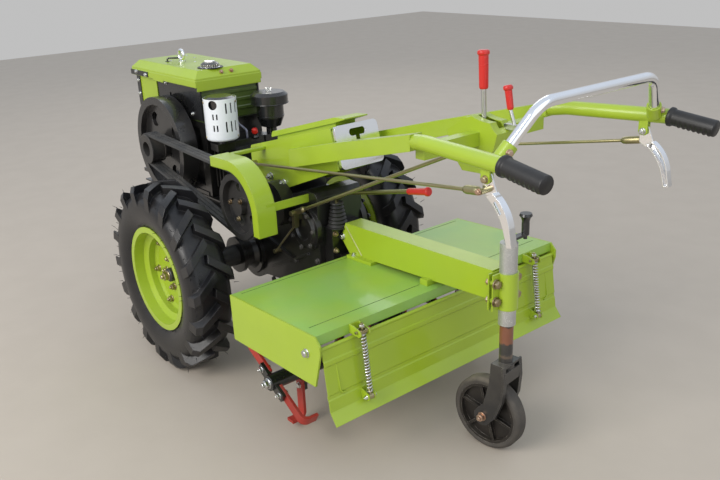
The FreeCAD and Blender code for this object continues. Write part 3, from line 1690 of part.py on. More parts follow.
rod_set = fuse(
    "RodSet",
    [
        clevis("ClutchClevis", clutch_joint, clutch_pin),
        cylinder("ClutchEye", (clutch_joint[0] - 2.0, 265.0, clutch_joint[2]), "Y", 6.0, 15.0),
        rod("ClutchRod", clutch_joint, clutch_pin, size.rod_radius - 1.0),
        cylinder("ClutchPin", (clutch_pin[0], size.box_half, clutch_pin[2]), "Y", 7.0, 28.0),
        rod_plate("ClutchArm", clutch_pin, (-66.0, 95.0, 560.0), 16.0, 94.0, 100.0),
        box("SpeedArm", (-946.0, -934.0), (94.0, 106.0), (782.0, 800.0)),
        clevis("SpeedClevis", speed_pin, speed_top),
        rod("SpeedRod", speed_top, speed_pin, size.rod_radius),
        cylinder("SpeedPin", (speed_pin[0], size.case_half, speed_pin[2]), "Y", 8.0, 46.0),
        rod_plate("SpeedPlate", speed_pin, brake_joint, 14.0, 102.0, 118.0),
        rod("BrakeRod", brake_joint, brake_pin, size.rod_radius - 2.0),
        cylinder("BrakePin", (brake_pin[0], size.case_half, brake_pin[2]), "Y", 7.0, 30.0),
    ],
)
part(cut("ControlRods", rod_set, fuse("RodSeats", [round_cover, case_side] + ribs)), "control_rods")

# Tiller: cover, end plates, beam, drive case

def cover_at(back):
    """The cover's top at a distance behind the axle."""
    share = (back - size.cover_front) / (size.cover_rear - size.cover_front)
    return size.cover_front_z + (size.cover_rear_z - size.cover_front_z) * share


drive_slope = prism(
    "DriveSlope",
    "XZ_Plane",
    [
        (rear, size.case_top - 200.0),
        (rear, size.case_top - 66.0),
        (rear - 38.0, size.case_top - 66.0),
        (rear - 38.0, cover_at(423.0) - size.sheet_metal),
        (-size.rotor_x + 40.0, cover_at(535.0) - size.sheet_metal),
        (-size.rotor_x - 44.0, size.rotor_z + 31.0),
        (-size.rotor_x + 40.0, size.rotor_z - 37.0),
    ],
    -size.drive_half,
    size.drive_half,
)
beam_lug = box(
    "BeamLug",
    (rear - 80.0, rear - 37.0),
    (-size.beam_half + size.sheet_metal, size.beam_half - size.sheet_metal),
    (428.0, 470.0),
)
drive_end = cylinder(
    "DriveEnd",
    (-size.rotor_x, -size.drive_half, size.rotor_z),
    "Y",
    54.0,
    size.drive_half * 2,
)
drive_bore = cylinder(
    "DriveBore",
    (-size.rotor_x, -size.drive_half - 1.0, size.rotor_z),
    "Y",
    size.rotor_shaft + size.fit_gap,
    size.drive_half * 2 + 2.0,
)
drive_flange = box(
    "DriveFlange",
    (rear - 38.0, rear),
    (-62.0, 62.0),
    (size.case_top - 202.0, size.case_top - 64.0),
)
BOOT_OUTLINE = [(0.0, -4.0), (25.0, -4.0)]
for fold in range(4):
    BOOT_OUTLINE += [(25.0 - 2.5 * fold, 4.0 + 15.0 * fold), (17.5 - 2.5 * fold, 11.5 + 15.0 * fold)]
BOOT_OUTLINE += [(12.0, 69.0), (0.0, 69.0)]
lever_boot = spun("LeverBoot", "XZ_Plane", [BOOT_OUTLINE], "V_Axis")
lever_boot.Placement = Placement(
    Vector(-BOOT_X, 30.0, size.case_top.value - 64.0), Rotation()
)
drive_solid = fuse("DriveSolid", [drive_slope, drive_end, drive_flange, beam_lug, lever_boot])
part(cut("DriveCase", drive_solid, drive_bore), "tiller_case")

COVER_SIDE = [
    (-size.cover_front, size.cover_front_z - size.sheet_metal),
    (-size.cover_front, size.cover_front_z),
    (-size.cover_rear, size.cover_rear_z),
    (-size.cover_rear, size.cover_rear_z - size.cover_skirt),
    (-size.cover_rear + size.sheet_metal, size.cover_rear_z - size.cover_skirt),
    (-size.cover_rear + size.sheet_metal, size.cover_rear_z - size.sheet_metal),
]
cover = prism("CoverForm", "XZ_Plane", COVER_SIDE, -size.cover_half, size.cover_half)
part(cover, "tiller_cover")

END_SIDE = [
    (-size.cover_front, size.cover_front_z),
    (-size.cover_rear, size.cover_rear_z),
    (-size.hinge_x - 10.0, size.hinge_z + 14.0),
    (-size.hinge_x - 10.0, size.hinge_z - 8.0),
    (-822.0, 271.0),
    (-453.0, 257.0),
]
end_left = prism(
    "EndLeft", "XZ_Plane", END_SIDE, size.cover_half, size.cover_half + size.end_plate
)
part(fuse("EndPlates", [end_left, mirrored("EndRight", end_left)]), "tiller_end_plates")

BEAM_SIDE = [
    (-581.0, cover_at(581.0) + 9.0),
    (-462.0, cover_at(462.0) + 6.0),
    (-424.0, 436.0),
    (-447.0, 486.0),
    (clamp_face, 506.0),
    (clamp_face, 429.0),
]
beam_outer = prism("BeamOuter", "XZ_Plane", BEAM_SIDE, -size.beam_half, size.beam_half)
BEAM_INSIDE = [
    (-583.0, 380.0),
    (-440.0, 380.0),
    (-420.0, 436.0),
    (-440.0, 483.0),
    (clamp_face - 5.0, 503.0),
    (clamp_face - 5.0, 420.0),
]
beam_inner = prism(
    "BeamInner",
    "XZ_Plane",
    BEAM_INSIDE,
    -size.beam_half + size.sheet_metal,
    size.beam_half - size.sheet_metal,
)


def beam_foot(name, front, back, height):
    """A plate under the beam that lies on the sloping cover."""
    outline = [
        (-front, cover_at(front)),
        (-front, cover_at(front) + height),
        (-back, cover_at(back) + height),
        (-back, cover_at(back)),
    ]
    return prism(name, "XZ_Plane", outline, -46.0, 46.0)


foot_front = beam_foot("FootFront", 466.0, 575.0, 9.0)
foot_rear = beam_foot("FootRear", 775.0, 803.0, 16.0)
part(fuse("Beam", [cut("BeamShell", beam_outer, beam_inner), foot_front, foot_rear]), "tiller_beam")

# Rotor: shaft and tines

shaft_half = size.cover_half - 15.0
rotor_bar = cylinder("RotorBar", (0.0, -shaft_half, 0.0), "Y", size.rotor_shaft, shaft_half * 2)

TINE_PLACES = [
    # distance from the centre line, angle of the first of two tines, which way each foot points
    (70.0, 0.0, (1, 1)),
    (150.0, 60.0, (1, -1)),
    (230.0, 120.0, (-1, 1)),
    (310.0, 180.0, (1, -1)),
    (390.0, 240.0, (-1, -1)),
]
HOLDER_FROM = size.rotor_shaft - 4.0
HOLDER_TO = size.rotor_shaft + 36.0
BLADE_OUT = size.tine_radius - 2.0
BLADE = [
    # along the shaft and out from it: a stem, and a foot that bends along the shaft
    (-4.0, size.rotor_shaft + 2.0),
    (4.0, size.rotor_shaft + 2.0),
    (4.0, BLADE_OUT - 22.0),
    (18.0, BLADE_OUT - 8.0, -14.2),
    (42.0, BLADE_OUT - 8.0),
    (42.0, BLADE_OUT),
    (18.0, BLADE_OUT),
    (-4.0, BLADE_OUT - 22.0, 22.3),
]


def turned_round(item, across, angle):
    """A shape's own copy, turned about the rotor and moved along it."""
    shape = item.Shape.copy()
    shape.rotate(Vector(), Vector(0, 1, 0), angle)
    shape.translate(Vector(0, across, 0))
    return shape


half_blade = size.tine_width / 2
blade_out = prism("BladeOut", "YZ_Plane", BLADE, -half_blade, half_blade)
blade_in = mirrored("BladeIn", blade_out)
holder_in = box("HolderIn", (-13.0, 13.0), (-14.0, -4.0 - size.fit_gap), (HOLDER_FROM, HOLDER_TO))
holder_out = mirrored("HolderOut", holder_in)
document.recompute()
blades = []
holders = []
for side in (1, -1):
    for across, first, ways in TINE_PLACES:
        for turn, way in zip((0.0, 180.0), ways):
            outwards = way * side > 0
            angle = first * side + turn
            blade, holder = (blade_out, holder_in) if outwards else (blade_in, holder_out)
            blades.append(turned_round(blade, across * side, angle))
            holders.append(turned_round(holder, across * side, angle))
rotor = fuse("Rotor", [rotor_bar, feature("TineHolders", Part.makeCompound(holders))])
place(rotor, 0.0, 0.0, size.rotor_z)
part(rotor, "rotor_shaft")
tines = place(feature("TineSet", Part.makeCompound(blades)), 0.0, 0.0, size.rotor_z)
part(tines, "tines")
for item in (rotor, tines):
    bind(item, ".Placement.Base.x", size.axle_x - size.rotor_x)

# Apron behind the cover, with its spring rods

hinge_low = size.hinge_z - 2.0
fold_z = 214.0
apron_lean = (863.0 - size.hinge_x - 3.0) / (hinge_low - fold_z)


def apron_at(height):
    """How far behind the axle the apron's outer face is at a height."""
    return size.hinge_x + 3.0 + apron_lean * (hinge_low - height)


def pressed(height, reach, out):
    """The outline of a shallow bead round a height of the apron's outer face."""
    return [
        (-apron_at(height + reach), height + reach),
        (-apron_at(height + reach - 3.0) - out, height + reach - 3.0),
        (-apron_at(height - reach + 3.0) - out, height - reach + 3.0),
        (-apron_at(height - reach), height - reach),
    ]


def pressed_inside(height, reach, out):
    """The same bead on the inner face, from below up."""
    return [
        (corner[0] + 2.5, corner[1]) for corner in reversed(pressed(height, reach, out))
    ]


APRON_SIDE = [(-size.hinge_x - 3.0, hinge_low)]
APRON_SIDE += pressed(335.0, 8.0, 2.5) + pressed(250.0, 7.0, -2.0)
APRON_SIDE += [(-863.0, fold_z), (-885.0, 186.0), (-882.6, 184.0), (-860.4, fold_z)]
APRON_SIDE += pressed_inside(250.0, 7.0, -2.0) + pressed_inside(335.0, 8.0, 2.5)
APRON_SIDE += [(-size.hinge_x, hinge_low)]
apron_sheet = prism("ApronSheet", "XZ_Plane", APRON_SIDE, -size.apron_half, size.apron_half)
apron_barrel = cylinder(
    "ApronBarrel",
    (-size.hinge_x, -size.cover_half + size.fit_gap, size.hinge_z),
    "Y",
    size.hinge_radius,
    (size.cover_half - size.fit_gap) * 2,
)
spring_foot = (-882.0, size.spring_y, 226.0)
spring_head = (-860.0, size.spring_y, 401.0)
EAR_SIDE = [(-855.0, 244.0), (-864.0, 214.0), (-890.0, 219.0), (-890.0, 233.0)]
ears = [
    prism("EarInner", "XZ_Plane", EAR_SIDE, size.spring_y - 11.0, size.spring_y - 7.0),
    prism("EarOuter", "XZ_Plane", EAR_SIDE, size.spring_y + 7.0, size.spring_y + 11.0),
    cylinder("EarPin", (-882.0, size.spring_y - 11.0, 226.0), "Y", 3.5, 22.0),
]
ear_set = fuse("EarSet", ears)
apron = fuse("Apron", [apron_sheet, apron_barrel, ear_set, mirrored("EarsRight", ear_set)])
part(apron, "apron")


def along(start, end, distance):
    """The point at a distance from start towards end."""
    first = Vector(*(float(value) for value in start))
    last = Vector(*(float(value) for value in end))
    return tuple(first + (last - first).normalize() * distance)


rod_eye = cut(
    "RodEye",
    cylinder("EyeOuter", (-882.0, size.spring_y - 6.5, 226.0), "Y", 8.0, 13.0),
    cylinder("EyeInner", (-882.0, size.spring_y - 7.5, 226.0), "Y", 3.5 + size.fit_gap, 15.0),
)
rod_stem = rod(
    "RodStem",
    along(spring_foot, spring_head, 7.0),
    along(spring_foot, spring_head, 188.0),
    size.spring_rod,
)
rod_left = fuse("RodLeft", [rod_eye, rod_stem])
part(fuse("SpringRods", [rod_left, mirrored("RodRight", rod_left)]), "spring_rods")

spring_from = along(spring_foot, spring_head, 15.0)
spring_to = along(spring_foot, spring_head, 162.0)
spring_left = cut(
    "SpringLeft",
    rod("SpringOuter", spring_from, spring_to, size.spring_radius),
    rod("SpringInner", along(spring_foot, spring_head, 8.0), spring_head, size.spring_rod + 1.0),
)
part(fuse("Springs", [spring_left, mirrored("SpringRight", spring_left)]), "springs")

skirt_back = -size.cover_rear
BRACKET_EAR = [
    (skirt_back, 404.0),
    (skirt_back, 381.0),
    (-868.0, 381.0),
    (-875.0, 388.0),
    (-871.0, 397.0),
    (-846.0, 404.0),
]
bracket_half = 15.0
pivot = spring_head[0], spring_head[2] - 8.0
ear_inner = size.spring_y - bracket_half
ear_outer = size.spring_y + bracket_half
ear_right = prism("BracketEar", "XZ_Plane", BRACKET_EAR, ear_inner, ear_inner + 3.0)
ear_left = prism("BracketEarLeft", "XZ_Plane", BRACKET_EAR, ear_outer - 3.0, ear_outer)
bracket_back = box(
    "BracketBack",
    (skirt_back - 3.0, skirt_back),
    (size.spring_y - bracket_half, size.spring_y + bracket_half),
    (381.0, 404.0),
)
pivot_block = box(
    "PivotBlock",
    (pivot[0] - 9.5, pivot[0] + 9.5),
    (size.spring_y - bracket_half + 3.0, size.spring_y + bracket_half - 3.0),
    (pivot[1] - 4.0, pivot[1] + 4.0),
)
pivot_pin = cylinder(
    "PivotPin",
    (pivot[0] - 1.0, size.spring_y - bracket_half - 6.0, pivot[1]),
    "Y",
    3.5,
    bracket_half * 2 + 12.0,
)
bracket_form = fuse("BracketForm", [ear_right, ear_left, bracket_back])
bracket = cut("Bracket", bracket_form, pivot_pin)
part(fuse("SpringBrackets", [bracket, mirrored("BracketRight", bracket)]), "spring_brackets")
pivot_bore = cylinder("PivotBore", (pivot[0], size.spring_y, pivot[1] - 10.0), "Z", 7.8, 20.0)
pin_holes = cut("PivotLeft", fuse("PivotSolid", [pivot_block, pivot_pin]), pivot_bore)
part(fuse("SpringPivots", [pin_holes, mirrored("PivotRight", pin_holes)]), "spring_pivots")

# Tail post: clamp, sleeve, crank, fork and wheel

clamp_wall = size.sleeve_radius + 4.0
PLATE_SIDE = [
    (-46.0, size.clamp_bottom),
    (46.0, size.clamp_bottom),
    (46.0, size.clamp_top),
    (-46.0, size.clamp_top),
]
clamp_front = prism("ClampFront", "YZ_Plane", PLATE_SIDE, clamp_face - 4.0, clamp_face)
clamp_rear = prism("ClampRear", "YZ_Plane", PLATE_SIDE, clamp_face - 17.0, clamp_face - 13.0)
clamp_height = size.clamp_top - size.clamp_bottom
clamp_round = cut(
    "ClampRound",
    cylinder("ClampShell", (-size.post_x, 0.0, size.clamp_bottom), "Z", clamp_wall, clamp_height),
    box(
        "ClampOpen",
        (clamp_face - 13.0, clamp_face + 20.0),
        (-60.0, 60.0),
        (size.clamp_bottom - 1.0, size.clamp_top + 1.0),
    ),
)
clamp_bolts = [
    cylinder(f"ClampBolt{number}", (clamp_face - 25.0, across, height), "X", 6.0, 32.0)
    for number, (across, height) in enumerate(
        ((36.0, 432.0), (36.0, 478.0), (-36.0, 432.0), (-36.0, 478.0))
    )
]
clamp_bore = cylinder(
    "ClampBore", (-size.post_x, 0.0, size.clamp_bottom - 1.0), "Z", size.sleeve_radius, 120.0
)
clamp_solid = fuse("ClampSolid", [clamp_front, clamp_rear, clamp_round] + clamp_bolts)
part(cut("Clamp", clamp_solid, clamp_bore), "tail_clamp")

sleeve = cut(
    "Sleeve",
    cylinder(
        "SleeveOuter",
        (-size.post_x, 0.0, size.sleeve_bottom),
        "Z",
        size.sleeve_radius,
        size.sleeve_top - size.sleeve_bottom,
    ),
    cylinder(
        "SleeveBore",
        (-size.post_x, 0.0, size.sleeve_bottom - 1.0),
        "Z",
        size.stem_radius + size.fit_gap,
        91.0,
    ),
)
part(sleeve, "tail_sleeve")

CRANK_ARM = [(-size.post_x - 10.0, 6.0), (-size.post_x - 7.5, -60.0)]
CRANK_ARM += [(-size.post_x + 7.5, -60.0, 7.8), (-size.post_x + 10.0, 6.0)]
crank_arm = prism("CrankArm", "XY_Plane", CRANK_ARM, size.sleeve_top + 3.0, size.sleeve_top + 9.0)
crank_screw = cylinder("CrankScrew", (-size.post_x, 0.0, size.sleeve_top), "Z", 8.0, 14.0)
KNOB = [
    (0.0, -8.0),
    (5.0, -8.0),
    (5.0, 3.0),
    (9.5, 3.0),
    (9.5, 30.0),
    (16.0, 50.0, -24.0),
    (14.0, 56.0),
    (0.0, 56.0),
]
crank_knob = spun("CrankKnob", "XZ_Plane", [KNOB], "V_Axis")
crank_knob.Placement = Placement(
    Vector(-size.post_x.value, -58.0, size.sleeve_top.value + 2.0), Rotation()
)
part(fuse("TailCrank", [crank_arm, crank_screw, crank_knob]), "tail_crank")

stem = cylinder(
    "TailStem",
    (-size.post_x, 0.0, 240.0),
    "Z",
    size.stem_radius,
    size.sleeve_bottom + 88.0 - 240.0,
)
leg_gap = size.tail_width / 2 + 9.0
leg_wall = 6.0
crown_top = 262.0
FORK_SIDE = [
    (-size.post_x + 20.0, crown_top),
    (-size.post_x + 24.0, 206.0),
    (-size.post_x + 40.0, 140.0),
    (-tail_x + 21.0, size.tail_radius + 12.0),
    (-tail_x - 15.0, size.tail_radius - 20.0, -24.5),
    (-size.post_x, 114.0),
    (-size.post_x - 19.0, 164.0),
    (-size.post_x - 24.0, 214.0),
    (-size.post_x - 20.0, crown_top),
]
FORK_EDGE = [
    (-size.post_x + 5.0, 116.0),
    (-size.post_x, 112.0),
    (-size.post_x - 19.0, 163.0),
    (-size.post_x - 24.0, 214.0),
    (-size.post_x - 20.0, crown_top),
    (-size.post_x - 15.0, crown_top),
    (-size.post_x - 19.0, 214.0),
    (-size.post_x - 14.0, 165.0),
]
leg_side = fuse(
    "ForkLegSide",
    [
        prism("ForkLeg", "XZ_Plane", FORK_SIDE, leg_gap, leg_gap + leg_wall),
        prism("ForkFlange", "XZ_Plane", FORK_EDGE, leg_gap + leg_wall, leg_gap + leg_wall + 7.0),
    ],
)
crown = box(
    "ForkCrown",
    (-size.post_x - 20.0, -size.post_x + 20.0),
    (-leg_gap - leg_wall, leg_gap + leg_wall),
    (crown_top - leg_wall, crown_top),
)
crown_back = box(
    "ForkBack",
    (-size.post_x - 23.0, -size.post_x - 18.0),
    (-leg_gap - leg_wall, leg_gap + leg_wall),
    (214.0, crown_top - 16.0),
)
collar = cylinder("ForkCollar", (-size.post_x, 0.0, 232.0), "Z", size.stem_radius + 5.0, 26.0)
pin = cylinder(
    "TailPin",
    (-tail_x, -leg_gap - 16.0, size.tail_radius),
    "Y",
    size.tail_pin,
    (leg_gap + 16.0) * 2,
)
fork_solid = fuse(
    "TailFork",
    [stem, crown, crown_back, collar, leg_side, mirrored("ForkLegRight", leg_side), pin],
)


def turned_caster(item, label):
    """Turn a piece about the tail post by its rest angle and hand it over."""
    angle = size.tail_turn
    part(item, label)
    item.Placement = Placement(item.Placement.Base, Rotation(Vector(0, 0, 1), angle.value))
    bind(item, ".Placement.Rotation.Angle", Dim(angle.value, f"({angle.text} * 1deg)"))
    cosine = Dim(math.cos(math.radians(angle.value)), f"cos({angle.text} * 1deg)")
    sine = Dim(math.sin(math.radians(angle.value)), f"sin({angle.text} * 1deg)")
    bind(item, ".Placement.Base.x", size.axle_x - size.post_x + size.post_x * cosine)
    bind(item, ".Placement.Base.y", size.post_x * sine)


turned_caster(fork_solid, "tail_fork")

half_tail = size.tail_width / 2
rubber_in = size.tail_radius - size.tail_rubber
HUB_OUTLINES = [
    [(-half_tail - 5.0, size.tail_pin + size.fit_gap), (-half_tail - 5.0, 18.0),
     (-8.0, 22.0), (8.0, 22.0),
     (half_tail + 5.0, 18.0), (half_tail + 5.0, size.tail_pin + size.fit_gap)],
    [(-4.0, 18.0), (-4.0, rubber_in - 6.0), (4.0, rubber_in - 6.0), (4.0, 18.0)],
    [(-half_tail + 2.0, rubber_in - 7.0), (-half_tail + 2.0, rubber_in),
     (half_tail - 2.0, rubber_in), (half_tail - 2.0, rubber_in - 7.0)],
]
HUB_RIB = [(-3.5, 19.0), (3.5, 19.0), (3.5, rubber_in - 5.0), (-3.5, rubber_in - 5.0)]
HUB_RIBS = 6
hub_turned = spun("HubTurned", "YZ_Plane", HUB_OUTLINES)
hub_rib = prism("HubRib", "XZ_Plane", HUB_RIB, -half_tail + 6.0, half_tail - 6.0)
document.recompute()
hub_ribs = [
    turned_round(hub_rib, 0.0, 360.0 / HUB_RIBS * number + 15.0) for number in range(HUB_RIBS)
]
tail_hub = fuse("TailHub", [hub_turned, feature("HubRibs", Part.makeCompound(hub_ribs))])
TAIL_RUBBER = [
    (-half_tail + 1.0, rubber_in),
    (-half_tail, size.tail_radius - 9.0),
    (-half_tail + 9.0, size.tail_radius, -12.0),
    (half_tail - 9.0, size.tail_radius),
    (half_tail, size.tail_radius - 9.0, -12.0),
    (half_tail - 1.0, rubber_in),
]
tail_rubber = spun("TailRubber", "YZ_Plane", [TAIL_RUBBER])
for item, label in ((tail_hub, "tail_wheel_hub"), (tail_rubber, "tail_wheel_rubber")):
    item.Placement = Placement(Vector(-tail_x.value, 0, size.tail_radius.value), Rotation())
    seat = document.addObject("Part::Compound", f"{item.Name}Seat")
    seat.Links = [place(item, -tail_x, 0.0, size.tail_radius)]
    turned_caster(seat, label)

document.recompute()

# Every object is checked before anything is written

for item in document.Objects:
    if {"Invalid", "Error"} & set(item.State):
        raise RuntimeError(f"{item.Label} has failed")
for item in parts:
    if item.Shape.isNull() or not item.Shape.isValid():
        raise RuntimeError(f"{item.Label} has no valid shape")

os.makedirs("parts", exist_ok=True)
for item in parts:
    item.Shape.exportStep(f"parts/{item.Label}.step")
print(len(parts), "parts written")
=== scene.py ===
"""Blender scene of a two-wheel walking tractor with a rotary tiller and a tail wheel.

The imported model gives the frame: X forwards, Y to the left, Z up, in metres.
Sizes are typed in millimetres from the drive axle and turned into the frame by mm().
"""

import json
import logging
import math
import random
from dataclasses import dataclass, replace
from enum import Enum
from typing import Dict, Iterable, List, Optional, Sequence, Tuple, Union

import bmesh
import bpy
from mathutils import Matrix, Vector

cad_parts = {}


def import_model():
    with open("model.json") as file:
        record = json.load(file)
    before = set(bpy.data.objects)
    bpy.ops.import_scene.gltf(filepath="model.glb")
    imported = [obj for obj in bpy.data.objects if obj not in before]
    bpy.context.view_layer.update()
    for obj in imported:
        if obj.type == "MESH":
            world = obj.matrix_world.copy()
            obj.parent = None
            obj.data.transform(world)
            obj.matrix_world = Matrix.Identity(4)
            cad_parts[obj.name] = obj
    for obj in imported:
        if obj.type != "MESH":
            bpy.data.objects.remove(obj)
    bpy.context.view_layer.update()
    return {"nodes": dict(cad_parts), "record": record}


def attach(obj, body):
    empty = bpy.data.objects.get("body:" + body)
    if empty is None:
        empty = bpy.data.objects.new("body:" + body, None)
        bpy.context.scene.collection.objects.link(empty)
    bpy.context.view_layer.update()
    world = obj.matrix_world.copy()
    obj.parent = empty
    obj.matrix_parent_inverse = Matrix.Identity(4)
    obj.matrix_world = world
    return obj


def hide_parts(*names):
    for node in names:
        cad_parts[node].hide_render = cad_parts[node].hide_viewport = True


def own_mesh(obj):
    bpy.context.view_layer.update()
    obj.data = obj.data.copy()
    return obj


LOG = logging.getLogger("walking_tractor")
Colour = Tuple[float, float, float]
Point = Tuple[float, float, float]
Pair = Tuple[float, float]
Socket = bpy.types.NodeSocket

AXLE_X = 317.0           # the drive axle's place along the row frame, in mm
LEFT: Point = (0.0, 1.0, 0.0)
RIGHT: Point = (0.0, -1.0, 0.0)
UP: Point = (0.0, 0.0, 1.0)
BACK: Point = (-1.0, 0.0, 0.0)
SIDE_NAMES = {1: "left", -1: "right"}


def mm(x: float, y: float, z: float) -> Vector:
    """A point typed in mm from the drive axle, in the row frame."""
    return Vector(((x + AXLE_X) / 1000.0, y / 1000.0, z / 1000.0))


def srgb(red: float, green: float, blue: float) -> Colour:
    """Screen values of 0 to 255 as the linear colour that a shader takes."""
    parts = (value / 255.0 for value in (red, green, blue))
    return tuple(p / 12.92 if p <= 0.04045 else ((p + 0.055) / 1.055) ** 2.4 for p in parts)


# ---------------------------------------------------------------- shader groups

class Group(Enum):
    """The shared effects, each one shader node group."""

    SPECKLE = "speckle"
    DUST = "dust_film"
    WEAR = "edge_wear"
    GRAIN = "paint_grain"
    BRUSH = "brushed_lines"
    ROUND = "soft_edges"
    STAIN = "slow_stain"
    BAND = "height_band"


class Wires:
    """A short way to lay nodes and links in one node tree."""

    def __init__(self, tree: bpy.types.NodeTree) -> None:
        """Keeps the tree that the nodes go into."""
        self.tree = tree

    def put(self, value: object, socket: Socket) -> None:
        """Feeds an input.

        Args:
            value: a socket to link, or a number or colour to set.
            socket: the input.
        """
        if isinstance(value, bpy.types.NodeSocket):
            self.tree.links.new(value, socket)
        else:
            socket.default_value = (*value, 1.0) if isinstance(value, tuple) else value

    def node(self, kind: str, inputs: Optional[Dict[Union[str, int], object]] = None,
             **values: object) -> bpy.types.Node:
        """Adds a node.

        Args:
            kind: the node's type name without its ShaderNode prefix.
            inputs: what feeds its inputs, by their names or places.
            **values: attributes of the node.

        Returns:
            The new node.
        """
        node = self.tree.nodes.new("ShaderNode" + kind)
        for key, value in values.items():
            setattr(node, key, value)
        for key, value in (inputs or {}).items():
            self.put(value, node.inputs[key])
        return node

    def place(self) -> Socket:
        """The object coordinates' socket."""
        return self.node("TexCoord").outputs["Object"]

    def effect(self, group: Group, **values: float) -> Socket:
        """Adds a shared effect.

        Args:
            group: which one.
            **values: its inputs that differ from the usual ones.

        Returns:
            The socket of what it puts out.
        """
        return self.node("Group", values, label=group.value,
                         node_tree=bpy.data.node_groups[group.value]).outputs[0]

    def math(self, operation: str, first: object, second: object = 0.0,
             clamp: bool = False) -> Socket:
        """A math node.

        Args:
            operation: the math node's operation.
            first: a socket or a number.
            second: a socket or a number.
            clamp: keeps the result between 0 and 1.

        Returns:
            The result's socket.
        """
        return self.node("Math", {0: first, 1: second}, operation=operation,
                         use_clamp=clamp).outputs[0]

    def ramp(self, value: Socket, low: object, high: object, first: float = 0.0,
             last: float = 1.0) -> Socket:
        """A smooth step.

        Args:
            value: the socket that is read.
            low: the value where the step starts.
            high: the value where it ends.
            first: the result before low.
            last: the result after high.

        Returns:
            The result's socket.
        """
        limits = {"Value": value, "From Min": low, "From Max": high, "To Min": first,
                  "To Max": last}
        return self.node("MapRange", limits, interpolation_type="SMOOTHSTEP",
                         clamp=True).outputs["Result"]

    def noise(self, scale: object, detail: float, rough: float = 0.5,
              place: Optional[Socket] = None) -> Socket:
        """A noise texture's factor.

        Args:
            scale: the noise's scale, per metre.
            detail: how many octaves it has.
            rough: how strong the finer octaves are.
            place: its coordinates, where they aren't the object's.

        Returns:
            The factor's socket.
        """
        return self.node("TexNoise", {"Vector": self.place() if place is None else place,
                                      "Scale": scale, "Detail": detail,
                                      "Roughness": rough}).outputs["Fac"]

    def cells(self, scale: Socket) -> bpy.types.Node:
        """A texture of cells at a scale."""
        return self.node("TexVoronoi", {"Vector": self.place(), "Scale": scale})

    def mix(self, amount: object, first: object, second: object) -> Socket:
        """A mix of two colours.

        Args:
            amount: a socket or a number.
            first: a socket or a colour.
            second: a socket or a colour.

        Returns:
            The result's socket.
        """
        node = self.node("Mix", data_type="RGBA")
        sockets = [s for s in node.inputs if s.enabled]
        for socket, value in zip(sockets, (amount, first, second)):
            self.put(value, socket)
        return next(s for s in node.outputs if s.enabled)


class Effect(Wires):
    """A shared shader group while it is laid."""

    def __init__(self, group: Group, output: str, **inputs: float) -> None:
        """Starts the group with its sockets.

        Args:
            group: which effect it is.
            output: the name of what it puts out.
            **inputs: the usual value of each input.
        """
        super().__init__(bpy.data.node_groups.new(group.value, "ShaderNodeTree"))
        sockets = self.tree.interface
        for key, value in inputs.items():
            socket = sockets.new_socket(key, in_out="INPUT", socket_type="NodeSocketFloat")
            socket.default_value = value
        kind = "NodeSocketVector" if output == "Normal" else "NodeSocketFloat"
        sockets.new_socket(output, in_out="OUTPUT", socket_type=kind)
        self.given = self.tree.nodes.new("NodeGroupInput").outputs
        self._result = self.tree.nodes.new("NodeGroupOutput").inputs[0]

    def give(self, value: Socket) -> None:
        """Puts a value out of the group."""
        self.put(value, self._result)


def _group_speckle() -> None:
    """Fine grains scattered over a surface, as a mask."""
    grains = Effect(Group.SPECKLE, "Mask", Scale=900.0, Cover=0.3)
    cells = grains.cells(grains.given["Scale"])
    tone = grains.node("SeparateColor", {0: cells.outputs["Color"]}).outputs[0]
    near = grains.math("LESS_THAN", cells.outputs["Distance"], 0.45)
    kept = grains.math("LESS_THAN", tone, grains.given["Cover"])
    grains.give(grains.math("MULTIPLY", near, kept))


def _group_dust() -> None:
    """Dust that lies on faces that look up, broken by noise, as a mask."""
    dust = Effect(Group.DUST, "Mask", Amount=0.3, Scale=9.0)
    normal = dust.node("NewGeometry").outputs["Normal"]
    height = dust.node("SeparateXYZ", {0: normal}).outputs["Z"]
    patch = dust.ramp(dust.noise(dust.given["Scale"], 6.0, 0.65), 0.35, 0.72)
    lying = dust.math("MULTIPLY", dust.ramp(height, -0.1, 0.95, 0.25, 1.0), patch)
    dust.give(dust.math("MULTIPLY", lying, dust.given["Amount"], True))


def _group_wear() -> None:
    """Edges that rubbed bare, as a mask."""
    wear = Effect(Group.WEAR, "Mask", Amount=0.5, Width=0.0015)
    rounded = wear.node("Bevel", {"Radius": wear.given["Width"]}, samples=4).outputs[0]
    flat = wear.node("NewGeometry").outputs["Normal"]
    turn = wear.node("VectorMath", {0: rounded, 1: flat}, operation="DOT_PRODUCT")
    edge = wear.ramp(turn.outputs["Value"], 0.80, 0.98, 1.0, 0.0)
    rubbed = wear.math("MULTIPLY", edge, wear.ramp(wear.noise(55.0, 5.0, 0.7), 0.42, 0.62))
    wear.give(wear.math("MULTIPLY", rubbed, wear.given["Amount"], True))


def _group_grain() -> None:
    """The small waves of sprayed paint or the pits of a casting, as a height."""
    grain = Effect(Group.GRAIN, "Height", Scale=250.0, Pits=0.0)
    wave = grain.noise(grain.given["Scale"], 2.0)
    pits = grain.ramp(grain.cells(grain.given["Scale"]).outputs["Distance"], 0.0, 0.6)
    grain.give(grain.math("ADD", wave, grain.math("MULTIPLY", pits, grain.given["Pits"])))


def _group_brush() -> None:
    """Fine lines along one way, as a value about 0.5."""
    lines = Effect(Group.BRUSH, "Value", Along=4.0, Across=600.0)
    along, across = lines.given["Along"], lines.given["Across"]
    size = lines.node("CombineXYZ", {"X": along, "Y": across, "Z": across}).outputs[0]
    place = lines.node("VectorMath", {0: lines.place(), 1: size}, operation="MULTIPLY")
    lines.give(lines.noise(1.0, 3.0, 0.55, place.outputs[0]))


